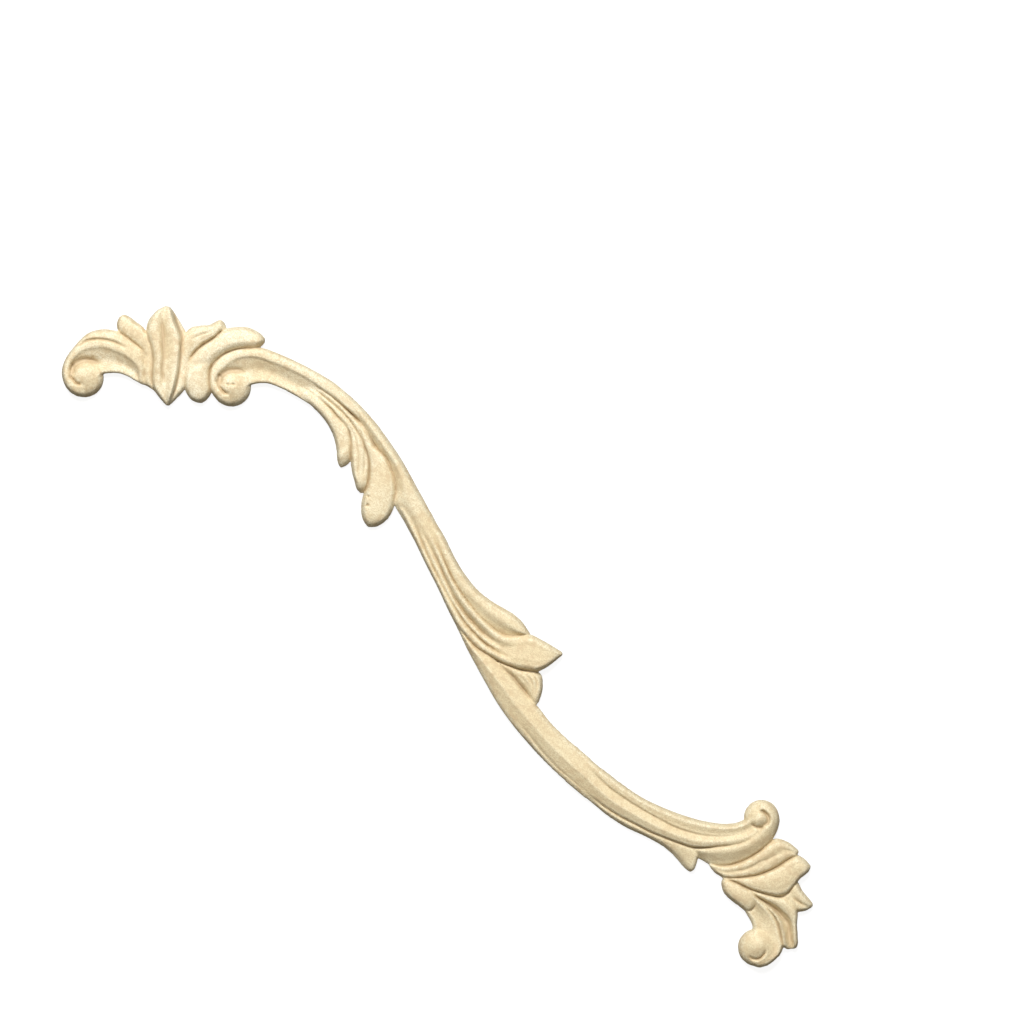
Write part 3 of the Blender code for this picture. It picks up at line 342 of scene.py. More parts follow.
# Thin lines cut into the face: name, half width and depth in millimetres, and points of the plan.
CREASES = (
    ("crest scroll, upper line", 0.6, 1.6, (
        (74, 349), (79, 344.6), (85, 341.5), (90, 340), (97, 339.3), (105, 340), (112, 341.5), (120, 344.6),
        (127.7, 349))),
    ("crest scroll, round the eye", 0.65, 1.9, (
        (69.5, 370), (70.5, 376), (73.5, 380), (76, 383), (79.6, 384.6), (81, 385.5))),
    ("crest scroll, over the eye", 1.7, 2.0, (
        (101, 364.5), (94, 361.2), (85.5, 360.3), (78, 362.5), (73.6, 367), (72.3, 372), (73.5, 377))),
    ("crest neck", 0.4, 0.6, ((142.7, 365), (144.2, 371), (143.8, 377), (144.5, 383))),
    ("crest side leaf, below", 0.4, 0.4, (
        (118.8, 333), (124, 335.4), (132, 341.5), (138, 346), (142.7, 351), (146.5, 357))),
    ("crest main leaf, left", 0.45, 0.8, (
        (146.5, 330), (148.5, 340), (151, 345), (152.7, 352), (153, 360), (152.5, 370), (152, 380),
        (153, 387))),
    ("crest main leaf, vein", 1.0, 1.3, (
        (161.5, 316), (162.3, 323), (163, 332), (163.3, 342), (163.8, 352), (163, 362), (162.3, 370),
        (163.5, 378), (163, 384))),
    ("crest main leaf, second vein", 0.6, 0.4, (
        (157, 350), (156.5, 360), (156.2, 370), (157, 380), (160, 390))),
    ("crest main leaf, steep side", 1.0, 1.3, (
        (171.8, 309), (174.6, 317), (177.8, 325), (181.2, 333), (182.3, 341))),
    ("crest main leaf, right", 0.45, 0.7, (
        (183, 337), (181.5, 343), (180.5, 350), (180, 360), (179, 370), (177, 378), (175, 387), (173, 394),
        (168, 404))),
    ("crest drop, neck", 1.5, 0.45, ((187.5, 360), (193, 363), (200, 364), (206, 362), (209, 359))),
    ("crest curled leaf, upper", 0.45, 0.9, (
        (184.2, 338), (187.3, 335), (191, 332.3), (196.5, 330.4), (202, 329.2), (208, 328.8))),
    ("crest curled leaf, middle", 0.6, 0.6, (
        (192, 341), (195, 337.7), (200.4, 335), (208, 332.7), (215, 329))),
    ("crest curled leaf, below", 0.5, 0.9, (
        (190, 358), (194, 353), (198, 348.8), (202.7, 345), (208, 341.5), (213.5, 338), (216.5, 335.8),
        (219, 332.7), (221, 331))),
    ("crest long leaf, below", 0.45, 0.7, (
        (255, 349), (243, 348.7), (235, 350), (227.3, 352.7), (221, 356.5), (215.8, 361), (212, 366),
        (210, 371), (209.6, 379.6), (210.8, 390))),
    ("upper scroll, crack", 0.45, 1.8, ((225.4, 383.2), (228, 384.6), (230, 383.8))),
    ("upper scroll, second crack", 0.45, 1.8, ((231.5, 385.5), (233.5, 384.3), (236.5, 386.3))),
    ("upper scroll, round the eye", 0.7, 2.2, (
        (217.3, 376), (216.7, 380), (218, 383.5), (219.6, 387.3), (222.7, 391), (225.8, 393.5),
        (229.2, 394))),
    ("upper scroll, over the eye", 1.7, 2.0, (
        (246, 374), (239, 371.3), (231.5, 370.8), (225, 373.2), (221, 377.5), (220.2, 382.5),
        (221.5, 386.5))),
    ("upper stem, channel", 0.55, 0.7, (
        (323, 389), (332, 396), (340, 403), (347.7, 411), (354, 417), (358.5, 423), (364, 430),
        (369, 438.5), (374, 446), (377, 450))),
    ("upper stem, by the third leaf", 0.5, 0.5, (
        (377, 450), (384.6, 455.4), (389, 464.6), (393, 474.6), (395.8, 484), (395.8, 491.5), (394.2, 499),
        (394.2, 504))),
    ("first and second stem leaf", 0.5, 0.6, (
        (320, 397.7), (330, 407), (337, 416), (344.6, 423), (349, 430), (351, 442), (350, 450),
        (351, 457.7), (352.3, 461))),
    ("second stem leaf, left line", 0.55, 0.95, (
        (343.1, 415.7), (350.3, 427.1), (355.3, 438.6), (357.8, 450), (358.6, 461.4), (357.6, 471.4),
        (357.6, 480))),
    ("second stem leaf, right line", 0.5, 0.85, (
        (353.9, 420), (359.6, 430), (362.9, 438.6), (364.7, 448.6), (365, 460), (364.4, 468.6),
        (363, 477))),
    ("second and third stem leaf", 0.45, 0.7, (
        (318.5, 391.5), (325.4, 397.7), (332, 403), (340, 409.6), (346, 416), (351, 422), (357, 431),
        (361.5, 437.7), (364.6, 446), (367.7, 454.6), (369, 463), (369.2, 468.5), (368.8, 476),
        (367.7, 484), (365.4, 491.5))),
    ("third stem leaf, pit", 0.5, 1.8, ((366.4, 496), (368, 496.3), (369.6, 497.2))),
    ("third stem leaf, second pit", 0.5, 2.0, ((367.8, 503), (367.5, 505), (366.2, 507.5))),
    ("stem, first rib", 0.4, 0.5, (
        (410, 512), (415, 525), (420, 538), (425, 550), (431, 563), (437, 576), (443, 588), (449, 600),
        (456, 610))),
    ("stem, second rib", 0.4, 0.5, (
        (417, 518), (423, 532), (430, 546), (436, 558), (441, 569), (446, 580), (452, 592), (458, 603))),
    ("stem, third rib", 0.4, 0.5, (
        (430, 528), (435, 540), (441, 553), (446, 565), (451, 576), (455.4, 584.6))),
    ("stem, lower left fillet", 0.4, 0.5, (
        (529, 734.6), (535.4, 742), (541.5, 750), (547.7, 757), (560, 770), (575, 782.7), (591, 796))),
    ("lower stem, lower line", 0.45, 0.7, (
        (520, 723), (531, 737.5), (539.6, 749.3), (551.5, 762.3), (561.7, 771.7), (570, 779))),
    ("middle upper leaf, below", 0.45, 0.5, ((455.4, 584.6), (460, 591.5), (464, 597.7), (467.7, 601.5))),
    ("middle leaf, channel", 0.7, 0.8, (
        (450, 590), (454.6, 597.7), (460, 606), (465.4, 614), (472, 621.5), (479, 628.5), (485.4, 634),
        (493, 640), (502, 644.6))),
    ("middle leaf, thin line", 0.4, 0.9, (
        (450, 599), (456, 610), (463, 620), (470, 628.5), (477.7, 637), (485.4, 644), (493, 649),
        (502, 654), (511.5, 657))),
    ("middle leaf, below", 0.45, 0.7, (
        (454.6, 623), (461.5, 631), (469, 640), (477, 647.7), (482, 651), (490, 655.4), (494.6, 659),
        (502, 663), (510, 666), (520, 669.6), (530, 671), (538.5, 671.5))),
    ("middle lobe and stem", 0.5, 0.7, (
        (496, 661.5), (502, 667), (508.5, 673), (514, 679), (519, 686), (524.6, 692), (529, 698),
        (531, 701))),
    ("middle lobe, thin line", 0.35, 0.35, (
        (521.5, 671), (526, 675.4), (529, 681), (531, 687.7), (533, 695.4))),
    ("middle small leaf, hollow", 1.5, 1.4, (
        (502, 665.5), (512.3, 676.3), (520.5, 686), (527, 693.8), (531.5, 700))),
    ("middle small leaf, first rib", 0.45, 0.6, (
        (514, 671), (522.4, 678.8), (527.4, 685.6), (531.2, 698.8))),
    ("middle small leaf, second rib", 0.45, 1.0, (
        (519, 669.5), (528.2, 677), (532.6, 684.7), (533.5, 695.9))),
    ("middle small leaf, third rib", 0.45, 1.0, (
        (527, 669.5), (535.3, 678.2), (537, 685.6), (535.6, 695.5))),
    ("foot, upper line", 0.35, 0.45, (
        (602, 780), (610, 787.7), (620, 794.6), (630, 801.5), (640, 807.7), (650, 813.8), (660, 819),
        (670, 824.6), (680, 829), (690, 832), (700, 834.6), (708.5, 836))),
    ("foot, lower line", 0.45, 0.8, (
        (591, 796), (600, 804), (610, 811), (620, 817), (630, 822), (640, 827), (650, 832.3), (660, 836),
        (670, 840), (680, 843.5), (690, 847.3), (700, 847.7), (710, 847.3), (720, 846))),
    ("foot, end of the lower line", 0.4, 0.4, ((715, 846.7), (724, 845.9), (732, 845))),
    ("foot scroll, below", 0.45, 0.8, (
        (710, 864.2), (715.4, 865.4), (721.5, 866.5), (730, 865.4), (740, 863), (750, 857.7), (757.7, 853),
        (764, 848.5), (770, 841.5))),
    ("foot scroll, round the eye", 0.8, 2.1, (
        (759, 811), (763, 811.5), (767, 814.8), (768.7, 819), (767.3, 823.5), (763.5, 826.7))),
    ("foot scroll, under the eye", 0.6, 1.5, ((764, 826.5), (759, 827.7), (754, 826), (751, 823))),
    ("foot first leaf, vein", 0.35, 0.5, (
        (733.8, 870), (740, 871), (745.4, 869.6), (751, 867), (755.4, 864.6), (760, 861.5), (767.7, 859.6),
        (771, 857.7), (775.4, 855.4), (780, 854), (785.4, 854))),
    ("foot first leaf, below", 0.45, 0.7, (
        (711, 868), (716, 873), (722, 877), (730, 878.5), (740, 878), (750, 877), (760, 875), (766, 872.7),
        (774, 869), (780, 866), (786, 861.5), (791.5, 858), (795, 856))),
    ("foot second leaf, fold", 1.4, 0.5, ((787, 859), (791, 866), (795, 874), (797, 881))),
    ("foot second leaf, below", 0.45, 0.7, (
        (727, 880.5), (733.8, 881), (740, 884), (750, 889), (758.5, 892), (767.7, 895), (774, 896.5),
        (780, 897.3), (784.6, 896), (788.5, 893), (791.5, 889), (794, 886), (800, 878.5))),
    ("foot second leaf, fold of the tip", 0.5, 0.35, ((793, 862.5), (799, 863.5), (806, 865.3))),
    ("foot small leaf", 0.5, 1.0, ((790, 895), (796, 900), (802, 904), (808, 907))),
    ("foot hanging leaf, hollow", 0.9, 0.8, (
        (764, 903), (775, 910), (783, 918), (788.5, 924), (790, 934.6), (793, 945))),
    ("foot hanging leaf, left", 0.4, 0.6, (
        (754, 897.7), (762, 903), (768.5, 909), (774, 915.4), (777.7, 922), (780, 930), (781.5, 937),
        (783, 944.6))),
    ("foot bead, right", 0.4, 0.6, ((752, 893), (755.5, 899), (755.5, 906), (751, 910.5), (745, 910.8))),
    ("foot lower scroll, round the eye", 0.5, 1.3, (
        (765.4, 949), (764.6, 953), (762, 956.5), (759, 958.8), (754.6, 959.2), (751, 957.7),
        (748.8, 955.4))),
)

# Places where the face swells: name, x and y, radius in squares, and the rise in millimetres.
SWELLS = (
    ("crest scroll eye", 84.5, 374, 12, 0.7),
    ("upper scroll eye", 230.5, 386, 12, 0.7),
    ("foot scroll eye", 759, 818.5, 10, 1.7),
    ("foot lower scroll eye", 757, 945.5, 13, 0.9),
)

# The finish: its creams, how many waves each pattern has to the metre, and how much each one shows.
CREAM = (0.80, 0.71, 0.49, 1)
# Painted light: the paler cream of the crest end.
CREAM_PAINTED_LIGHT = (0.90, 0.85, 0.68, 1)
CREAM_WARM = (0.77, 0.65, 0.42, 1)
CREAM_GRAIN = (0.73, 0.60, 0.38, 1)
# The cream that the ridges and raised edges turn to.
CREAM_RIDGE = (0.88, 0.83, 0.65, 1)
CREAM_STAIN = (0.66, 0.52, 0.325, 1)
CREAM_SAND = (0.62, 0.50, 0.31, 1)
# Painted shade: the brown of the hollows and creases.
BROWN_PAINTED_SHADE = (0.47, 0.35, 0.21, 1)
STREAK_SCALE = (45.0, 700.0, 700.0)
CLOUD_SCALE = 45.0
STAIN_SCALE = 330.0
SAND_SCALE = 1500.0
CLOUD_SHARE = 0.8
STREAK_SHARE = 0.35
RIDGE_SHARE = 0.6
STAIN_SHARE = 0.4
STAIN_IN_CLOUDS = 0.5
SAND_SHARE = 0.75
PAINTED_SHADE_SHARE = 0.7
GRAIN_HEIGHT = 0.0003
STREAK_HEIGHT = 0.15

# The studio, in metres and watts. The key lamp's direction is the photograph's right, up and out.
FLOOR = 6.0
FLOOR_GAP = 0.0002
FLOOR_GREY = (0.2, 0.2, 0.2, 1)
FLOOR_GLOW = 0.9
KEY = 71.0
KEY_FROM = (-0.08, 0.60, 0.82)
KEY_AWAY = 2.3
KEY_SIDE = 0.85
KEY_COLOUR = (1.0, 0.985, 0.95)
SURROUND = 0.2
SURROUND_COLOUR = (1.0, 0.92, 0.76, 1)

# The camera: the photograph's side in squares, its own height in metres, its chip in millimetres.
PHOTO_SIDE = 1024
CAMERA_HEIGHT = 2.4
CAMERA_LEVEL = 0.006
CAMERA_CHIP = 36.0
CAMERA_REACH = 20.0

cad_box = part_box("onlay")


class HeightMap:
    """The carved face as heights in millimetres over a grid, in the part's own frame."""

    def __init__(self):
        low = np.array(cad_box[0][:2]) / M - MARGIN
        high = np.array(cad_box[1][:2]) / M + MARGIN
        self.low = low
        self.shape = tuple(np.ceil((high - low) / CELL).astype(int))
        self.height = np.zeros(self.shape)
        self.kept = np.zeros(self.shape, bool)

    def centres(self):
        """The middle of each cell, along and aside."""
        along = self.low[0] + (np.arange(self.shape[0]) + 0.5) * CELL
        aside = self.low[1] + (np.arange(self.shape[1]) + 0.5) * CELL
        return np.meshgrid(along, aside, indexing="ij")

    def lay_strip(self, along, aside, height):
        """Raises the face to the points of a strip, where they stand above it."""
        column = np.clip(((along - self.low[0]) / CELL).astype(int), 0, self.shape[0] - 1)
        row = np.clip(((aside - self.low[1]) / CELL).astype(int), 0, self.shape[1] - 1)
        cells = column * self.shape[1] + row
        count = np.bincount(cells, minlength=self.height.size)
        total = np.bincount(cells, weights=height, minlength=self.height.size)
        mean = np.where(count > 0, total / np.maximum(count, 1), 0.0).reshape(self.shape)
        self.height = np.maximum(self.height, mean)

    def off_centre(self, x, y, radius):
        """The square of each cell's distance to a point of the plan, with the radius as 1."""
        across, beside = self.centres()
        along, aside = lay(x, y)
        return ((across - along) ** 2 + (beside - aside) ** 2) / (radius * SQUARE) ** 2

    def near(self, points, reach):
        """Each cell's distance to a row of points, where within reach, and the nearest one's number."""
        span = int(math.ceil(reach / CELL))
        column = ((points[:, 0] - self.low[0]) / CELL).astype(int)
        row = ((points[:, 1] - self.low[1]) / CELL).astype(int)
        number = np.arange(len(points))
        keys = np.full(self.height.size, FAR)
        for right in range(-span, span + 1):
            for up in range(-span, span + 1):
                there = (column + right >= 0) & (column + right < self.shape[0])
                there &= (row + up >= 0) & (row + up < self.shape[1])
                across = self.low[0] + (column[there] + right + 0.5) * CELL - points[there, 0]
                beside = self.low[1] + (row[there] + up + 0.5) * CELL - points[there, 1]
                square = ((across ** 2 + beside ** 2) * FINE).astype(np.int64)
                np.minimum.at(keys, (column[there] + right) * self.shape[1] + row[there] + up,
                              square * len(points) + number[there])
        keys = keys.reshape(self.shape)
        square = np.minimum(keys, FAR - 1) // len(points) / FINE
        return np.where(keys < FAR, np.sqrt(square), np.inf), keys % len(points)


def blur(values, spread):
    """Values of the grid, averaged over about spread millimetres."""
    reach = max(1, int(math.ceil(3 * spread / CELL)))
    weights = np.exp(-0.5 * (np.arange(-reach, reach + 1) * CELL / spread) ** 2)
    weights /= weights.sum()
    for axis in (0, 1):
        padded = np.pad(values, [(reach, reach) if k == axis else (0, 0) for k in (0, 1)], mode="edge")
        size = values.shape[axis]
        values = sum(w * np.take(padded, range(k, k + size), axis) for k, w in enumerate(weights))
    return values


def lay(x, y):
    """Points of the plan, in squares, laid in the part's own frame, in millimetres."""
    across = x - PLAN_CENTRE[0]
    down = y - PLAN_CENTRE[1]
    along = SQUARE * (across * math.cos(LEAN) + down * math.sin(LEAN)) - SHIFT[0]
    aside = SQUARE * (across * math.sin(LEAN) - down * math.cos(LEAN)) - SHIFT[1]
    return along, aside


def smooth(rows, places):
    """The rows at places between 0 and len(rows) - 1, on a Catmull-Rom curve through the rows."""
    rows = np.array(rows, float)
    first = np.minimum(places.astype(int), len(rows) - 2)
    t = (places - first)[:, None]
    before, start, end, after = (rows[np.clip(first + k, 0, len(rows) - 1)] for k in (-1, 0, 1, 2))
    slope_in = (end - before) / 2
    slope_out = (after - start) / 2
    return start + t * (slope_in + t * (3 * (end - start) - 2 * slope_in - slope_out
                                        + t * (slope_in + slope_out - 2 * (end - start))))


def section(values, u):
    """A section's heights at places u across, on a smooth curve, or on flat faces for a roof."""
    x = np.array(ACROSS)
    v = np.array(values, float)
    if values is ROOF:
        return np.interp(u, x, v)
    slope = np.gradient(v, x)
    k = np.clip(np.searchsorted(x, u, side="right") - 1, 0, len(x) - 2)
    width = x[k + 1] - x[k]
    t = (u - x[k]) / width
    rise = v[k + 1] - v[k]
    a, b = slope[k] * width, slope[k + 1] * width
    return v[k] + t * (a + t * (3 * rise - 2 * a - b + t * (a + b - 2 * rise)))


def strip_points(start, end, stations):
    """Many points on the face of a strip: along, aside and height."""
    plan = np.array(stations, float)
    middle = (plan[:, :2] + plan[:, 2:4]) / 2
    steps = [np.hypot(*np.diff(row, axis=0).T) * SQUARE for row in (middle, plan[:, :2], plan[:, 2:4])]
    places = []
    for k, lengths in enumerate(zip(*steps)):
        count = int(math.ceil(max(lengths) * SPARE_ALONG / SAMPLE))
        places.append(k + np.arange(count) / count)
    places = np.concatenate(places + [[len(stations) - 1.0]])
    widest = np.hypot(plan[:, 2] - plan[:, 0], plan[:, 3] - plan[:, 1]).max() * SQUARE
    u = np.linspace(0, 1, int(math.ceil(widest * SPARE_ACROSS / SAMPLE)) + 1)
    ax, ay, bx, by, crest = smooth(stations, places).T[:, :, None]
    share = (places / (len(stations) - 1))[:, None]
    grow = EASE / np.maximum(np.hypot(bx - ax, by - ay), 2 * EASE)
    spread = u[None, :] * (1 + 2 * grow) - grow
    x = ax + (bx - ax) * spread
    y = ay + (by - ay) * spread
    height = crest * (section(start, u)[None, :] * (1 - share) + section(end, u)[None, :] * share)
    along, aside = lay(x.ravel(), y.ravel())
    return along, aside, height.ravel()


def lay_strips(face):
    """Lays all the strips. The cells of steep ones are kept as they are at the edge."""
    for _, start, end, stations in STRIPS:
        before = face.height
        face.lay_strip(*strip_points(start, end, stations))
        if start is STEEP:
            face.kept |= face.height > before


def raise_balls(face):
    """Rounds the balls of the scrolls and blends them in. Their cells are kept too."""
    for _, x, y, radius, height in BALLS:
        off = face.off_centre(x, y, radius)
        dome = height * (BALL_FOOT + (1 - BALL_FOOT) * np.clip(1 - off, 0, 1) ** BALL_ROUND)
        close = np.clip(1 - np.abs(face.height - dome) / BALL_BLEND, 0, 1)
        near = np.where(face.height > 0, close, 0)
        dome = np.maximum(face.height, dome) + BALL_BLEND / 4 * near ** 2
        face.height = np.where(off < 1, dome, face.height)
        face.kept |= off < 1


def crease_depths(face):
    """How deep the creases cut each cell. Each one fades in and out."""
    cut = np.zeros(face.shape)
    for _, width, depth, points in CREASES:
        path = smooth(points, np.linspace(0, len(points) - 1, CREASE_POINTS * len(points)))
        distance, number = face.near(np.stack(lay(*path.T), axis=1), CREASE_REACH * width)
        share = number / (len(path) - 1)
        fade = np.clip(np.minimum(share, 1 - share) * len(points) / CREASE_FADE, 0, 1)
        cut = np.maximum(cut, depth * fade * np.exp(-(distance / width) ** 2))
    return cut


def soften(face, inside, cut):
    """Softens the face and its outline, rolls the outer edge, and finds the hollows."""
    solid = inside.astype(float)
    weight = blur(solid, FACE_SOFT)
    filled = blur(face.height, FACE_SOFT) / np.maximum(weight, NO_COVER)
    wide = blur(face.height, EDGE_SOFT) / np.maximum(blur(solid, EDGE_SOFT), NO_COVER)
    face.cover = blur(solid, OUTLINE_SOFT)
    within = face.cover > OUTLINE
    rim = within & ~np.logical_and.reduce([np.roll(within, way, axis) for axis in (0, 1) for way in (1, -1)])
    across, beside = face.centres()
    distance, _ = face.near(np.stack((across[rim], beside[rim]), axis=1), ROLL + CELL)
    into = np.clip((distance + CELL / 2) / ROLL, 0, 1)
    face.roll = ROLL_FOOT + (1 - ROLL_FOOT) * np.sqrt(1 - (1 - into) ** 2)
    lift = np.where(face.kept, 0, EDGE_LIFT * (1 - into) ** 2)
    face.filled = np.where(weight > THIN_COVER, filled + (wide - filled) * lift, wide)
    surface = np.where(within, face.filled * face.roll, 0)
    # How hollow each point is, with its crease depth added: the finish paints shade there.
    face.hollow = np.where(within, blur(surface, HOLLOW_REACH) - surface + CREASE_SHADE * cut, 0)


def carve():
    """The whole carved face."""
    face = HeightMap()
    lay_strips(face)
    raise_balls(face)
    inside = face.height > 0
    for _, x, y, radius, rise in SWELLS:
        face.height = face.height + rise * np.clip(1 - face.off_centre(x, y, radius), 0, 1) ** 2
    cut = crease_depths(face)
    face.height = np.where(inside, np.maximum(face.height - cut, LEAST_HEIGHT), 0)
    soften(face, inside, cut)
    return face


def face_mesh(face):
    """The face as points, polygons and hollows, and the point after each one of its outline."""
    step = slice(None, None, MESH_CELLS)
    across, beside = (grid[step, step] for grid in face.centres())
    cover, filled, roll, hollow = (
        grid[step, step] for grid in (face.cover, face.filled, face.roll, face.hollow))
    inside = cover > OUTLINE
    number = np.full(inside.shape, -1)
    number[inside] = np.arange(inside.sum())
    points = np.stack((across[inside], beside[inside], (filled * roll)[inside]), axis=1).tolist()
    hollows = hollow[inside].tolist()
    crossings = {}

    def crossing(one, two):
        """The outline's point between two grid points, one inside and one outside."""
        key = (one, two) if one < two else (two, one)
        if key not in crossings:
            one, two = key
            t = (OUTLINE - cover[one]) / (cover[two] - cover[one])
            x, y, height, deep = (grid[one] + t * (grid[two] - grid[one])
                                  for grid in (across, beside, filled, hollow))
            crossings[key] = len(points)
            points.append([x, y, height * ROLL_FOOT])
            hollows.append(deep)
        return crossings[key]

    corners = [number[:-1, :-1], number[1:, :-1], number[1:, 1:], number[:-1, 1:]]
    whole = np.logical_and.reduce([c >= 0 for c in corners])
    some = np.logical_or.reduce([c >= 0 for c in corners]) & ~whole
    faces = np.stack([c[whole] for c in corners], axis=1).tolist()
    following = {}
    for i, j in zip(*np.nonzero(some)):
        ring = [(i, j), (i + 1, j), (i + 1, j + 1), (i, j + 1)]
        shape, outs = [], []
        for here, there in zip(ring, ring[1:] + ring[:1]):
            if inside[here]:
                shape.append(int(number[here]))
            if inside[here] != inside[there]:
                shape.append(crossing(here, there))
                outs.append((shape[-1], bool(inside[here])))
        if len(outs) == 2:
            first, second = outs if outs[0][1] else outs[::-1]
            following[first[0]] = second[0]
            faces.append(shape)
            continue
        for k, (point, leaving) in enumerate(outs):
            if not leaving:
                after = outs[(k + 1) % 4][0]
                faces.append([point, shape[(shape.index(point) + 1) % len(shape)], after])
                following[after] = point
    return points, faces, hollows, following


def outline_loops(following):
    """The closed loops of the outline."""
    loops = []
    while following:
        here = next(iter(following))
        loop = []
        while here in following:
            loop.append(here)
            here = following.pop(here)
        loops.append(loop)
    return loops


def back_faces(points, backs):
    """Triangles that fill the flat back inside its outlines, turned down."""
    plans = [[Vector(points[k]) for k in foot] for foot in backs]
    order = [k for foot in backs for k in foot]
    faces = []
    for corners in tessellate_polygon(plans):
        a, b, c = (order[k] for k in corners)
        turn = np.cross(points[b][:2] - points[a][:2], points[c][:2] - points[a][:2])
        faces.append([a, c, b] if turn > 0 else [a, b, c])
    return faces


def onlay_mesh():
    """The onlay's points, faces and hollows, with its side wall and flat back."""
    points, faces, hollows, following = face_mesh(carve())
    backs = []
    for loop in outline_loops(following):
        foot = list(range(len(points), len(points) + len(loop)))
        points += [[points[k][0], points[k][1], 0.0] for k in loop]
        hollows += [0.0] * len(loop)
        backs.append(foot)
        for k in range(len(loop)):
            after = (k + 1) % len(loop)
            faces.append([loop[after], loop[k], foot[k], foot[after]])
    points = np.array(points)
    return points, faces + back_faces(points, backs), hollows


def carved_onlay():
    """The onlay as one object, held inside the solid's box."""
    points, faces, hollows = onlay_mesh()
    low, high = (np.array(corner) for corner in cad_box)
    mesh = bpy.data.meshes.new("carved_onlay")
    mesh.from_pydata(np.clip(points * M, low, high).tolist(), [], faces)
    mesh.update()
    mesh.validate()
    mesh.shade_smooth()
    mesh.set_sharp_from_angle(angle=CRISP)
    # Each point's hollow, which the finish turns into painted shade and paler ridges.
    attribute = mesh.attributes.new("hollow", "FLOAT", "POINT")
    attribute.data.foreach_set("value", np.array(hollows, np.float32))
    body = bpy.data.objects.new("carved_onlay", mesh)
    bpy.context.scene.collection.objects.link(body)
    return body


class Signal:
    """An output of a material's node. Sums and products of it add Math nodes."""

    def __init__(self, finish, socket):
        self.finish = finish
        self.socket = socket

    def math(self, operation, first, second):
        return self.finish.node("Math", {"operation": operation}, {0: first, 1: second})

    def __add__(self, other):
        return self.math("ADD", self, other)

    def __mul__(self, other):
        return self.math("MULTIPLY", self, other)

    __radd__ = __add__
    __rmul__ = __mul__


class Finish:
    """A material with a Principled shader, and what feeds it."""

    def __init__(self, name, **constants):
        self.material = bpy.data.materials.new(name)
        self.material.use_nodes = True
        self.tree = self.material.node_tree
        self.shader = self.tree.nodes["Principled BSDF"]
        for socket, value in constants.items():
            self.shader.inputs[socket.replace("_", " ")].default_value = value

    def node(self, kind, settings, sockets, output=0):
        """A node of a type, with its settings first, then the values or links of its sockets."""
        node = self.tree.nodes.new("ShaderNode" + kind)
        for name, value in settings.items():
            setattr(node, name, value)
        for name, value in sockets.items():
            self.feed(node.inputs[name], value)
        return Signal(self, node.outputs[output])

    def feed(self, socket, value):
        """Links a socket to a signal, or gives it a value."""
        if isinstance(value, Signal):
            self.tree.links.new(value.socket, socket)
        else:
            socket.default_value = value

    def ramp(self, signal, low, high):
        """The signal from low to high as 0 to 1, held there outside."""
        sockets = {"Value": signal, "From Min": low, "From Max": high}
        return self.node("MapRange", {"interpolation_type": "SMOOTHSTEP"}, sockets)

    def mix(self, share, first, second):
        """One colour that turns into another as share goes from 0 to 1."""
        return self.node("Mix", {"data_type": "RGBA"}, {"Factor": share, 6: first, 7: second}, output=2)

    def noise(self, place, scale, detail=3.0, rough=0.5):
        """Noise around one half, at a place."""
        sockets = {"Vector": place, "Scale": scale, "Detail": detail, "Roughness": rough}
        return self.node("TexNoise", {}, sockets)


def moulded_wood():
    """Matt wood fibre with clouds, streaks, stains and sand, made paler on ridges; painted light makes it
    paler towards the crest, and painted shade makes its hollows and creases brown.
    """
    finish = Finish("moulded_wood", Roughness=0.55, Metallic=0.0)
    place = finish.node("TexCoord", {}, {}, output="Object")
    along = finish.node("Mapping", {}, {"Vector": place, "Scale": STREAK_SCALE})
    streaks = finish.ramp(finish.noise(along, 1.0, 5.0, 0.6), 0.42, 0.72)
    clouds = finish.ramp(finish.noise(place, CLOUD_SCALE), 0.38, 0.66)
    stains = finish.ramp(finish.noise(place, STAIN_SCALE, 5.0, 0.65), 0.44, 0.62)
    sand = finish.noise(place, SAND_SCALE, 2.0, 0.7)
    grains = finish.ramp(sand, 0.42, 0.62)
    hollow = finish.node("Attribute", {"attribute_name": "hollow"}, {}, output="Fac")
    # Painted shade: the hollows and creases turn brown.
    deep = finish.ramp(hollow, 0.06, 0.9)
    # Ridges and raised edges are made paler.
    paler_ridges = finish.ramp(hollow * -1.0, 0.0, 0.4)
    end = finish.node("SeparateXYZ", {}, {"Vector": place}, output="X")
    # Painted light: the crest end is made paler, as if more lit.
    base = finish.mix(finish.ramp(end * -1.0, -0.05, 0.2), CREAM, CREAM_PAINTED_LIGHT)
    base = finish.mix(clouds * CLOUD_SHARE, base, CREAM_WARM)
    base = finish.mix(streaks * STREAK_SHARE, base, CREAM_GRAIN)
    base = finish.mix(paler_ridges * RIDGE_SHARE, base, CREAM_RIDGE)
    base = finish.mix(stains * (clouds * STAIN_IN_CLOUDS + STAIN_SHARE), base, CREAM_STAIN)
    base = finish.mix(grains * SAND_SHARE, base, CREAM_SAND)
    base = finish.mix(deep * PAINTED_SHADE_SHARE, base, BROWN_PAINTED_SHADE)
    finish.feed(finish.shader.inputs["Base Color"], base)
    relief = sand + streaks * STREAK_HEIGHT
    bump = finish.node("Bump", {}, {"Strength": 1.0, "Distance": GRAIN_HEIGHT, "Height": relief})
    finish.feed(finish.shader.inputs["Normal"], bump)
    return finish.material


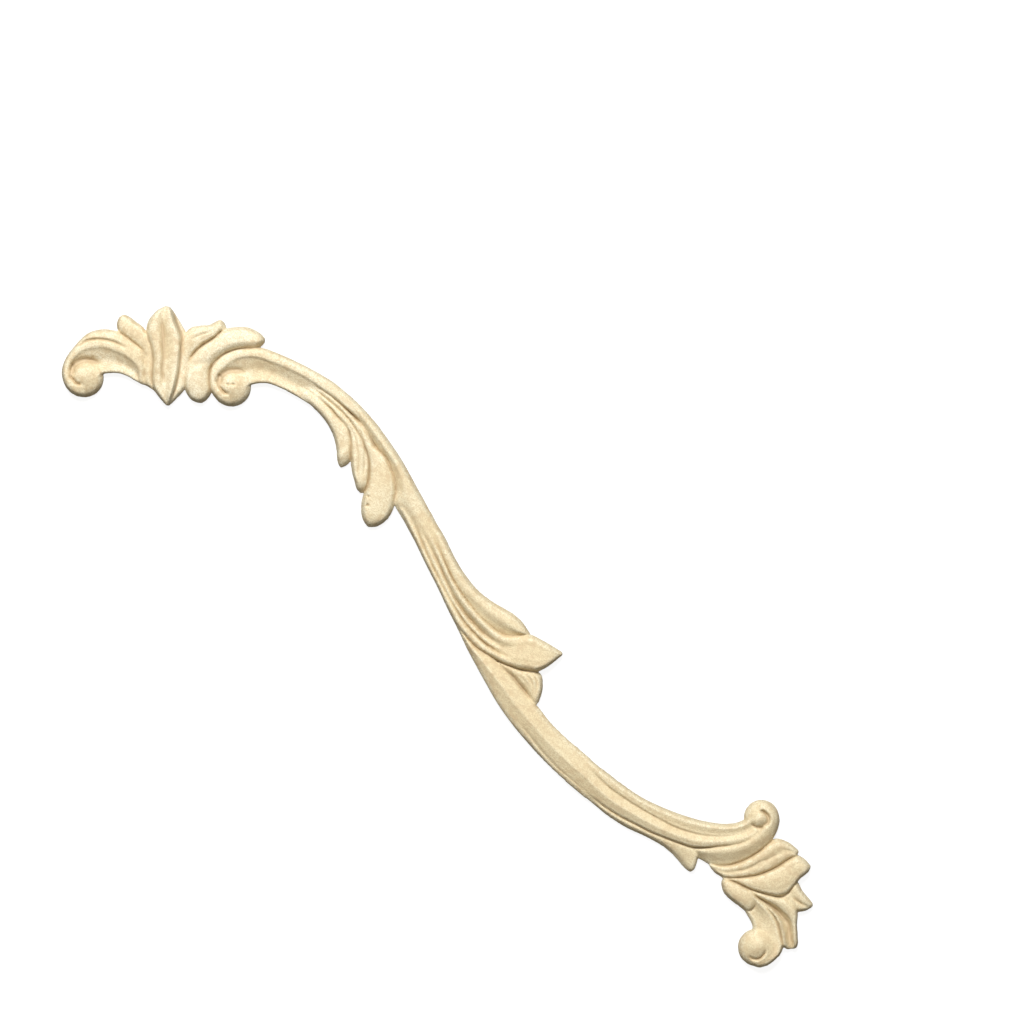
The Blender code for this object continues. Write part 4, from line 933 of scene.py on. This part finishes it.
def floor():
    """A plain white floor under the onlay, level with its back."""
    mesh = bpy.data.meshes.new("floor")
    half = FLOOR / 2
    corners = [(-half, -half, 0), (half, -half, 0), (half, half, 0), (-half, half, 0)]
    mesh.from_pydata(corners, [], [(0, 1, 2, 3)])
    finish = Finish("white_table", Base_Color=FLOOR_GREY, Roughness=0.9, Emission_Color=(1, 1, 1, 1),
                    Emission_Strength=FLOOR_GLOW)
    mesh.materials.append(finish.material)
    table = bpy.data.objects.new("floor", mesh)
    table.location.z = -FLOOR_GAP
    table.visible_diffuse = False
    table.visible_glossy = False
    bpy.context.scene.collection.objects.link(table)


def key_lamp():
    """A soft square lamp that shines on the onlay from the top of the photograph."""
    direction = (Matrix.Rotation(LEAN, 3, "Z") @ Vector(KEY_FROM)).normalized()
    data = bpy.data.lights.new("key", "AREA")
    data.size = KEY_SIDE
    data.energy = KEY
    data.color = KEY_COLOUR
    light = bpy.data.objects.new("key", data)
    light.location = direction * KEY_AWAY
    light.rotation_euler = direction.to_track_quat("Z", "Y").to_euler()
    bpy.context.scene.collection.objects.link(light)


def studio():
    """The soft lamp and a pale surround, with colours shown as they are."""
    key_lamp()
    scene = bpy.context.scene
    world = bpy.data.worlds.new("studio")
    world.use_nodes = True
    light = world.node_tree.nodes["Background"].inputs
    light["Color"].default_value = SURROUND_COLOUR
    light["Strength"].default_value = SURROUND
    scene.world = world
    scene.view_settings.view_transform = "Standard"
    scene.view_settings.look = "None"


def camera():
    """Straight above, with a long lens: a square of the plan is a pixel of the photograph."""
    data = bpy.data.cameras.new("camera")
    data.sensor_width = CAMERA_CHIP
    data.lens = CAMERA_CHIP * CAMERA_HEIGHT / (PHOTO_SIDE * SQUARE * M)
    data.clip_end = CAMERA_REACH
    eye = bpy.data.objects.new("camera", data)
    along, aside = lay(PHOTO_SIDE / 2, PHOTO_SIDE / 2)
    eye.location = (along * M, aside * M, CAMERA_HEIGHT + CAMERA_LEVEL)
    eye.rotation_euler = (0, 0, LEAN)
    bpy.context.scene.collection.objects.link(eye)
    bpy.context.scene.camera = eye


onlay = carved_onlay()
onlay.data.materials.append(moulded_wood())
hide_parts("onlay")
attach(onlay, "root")
floor()
studio()
camera()
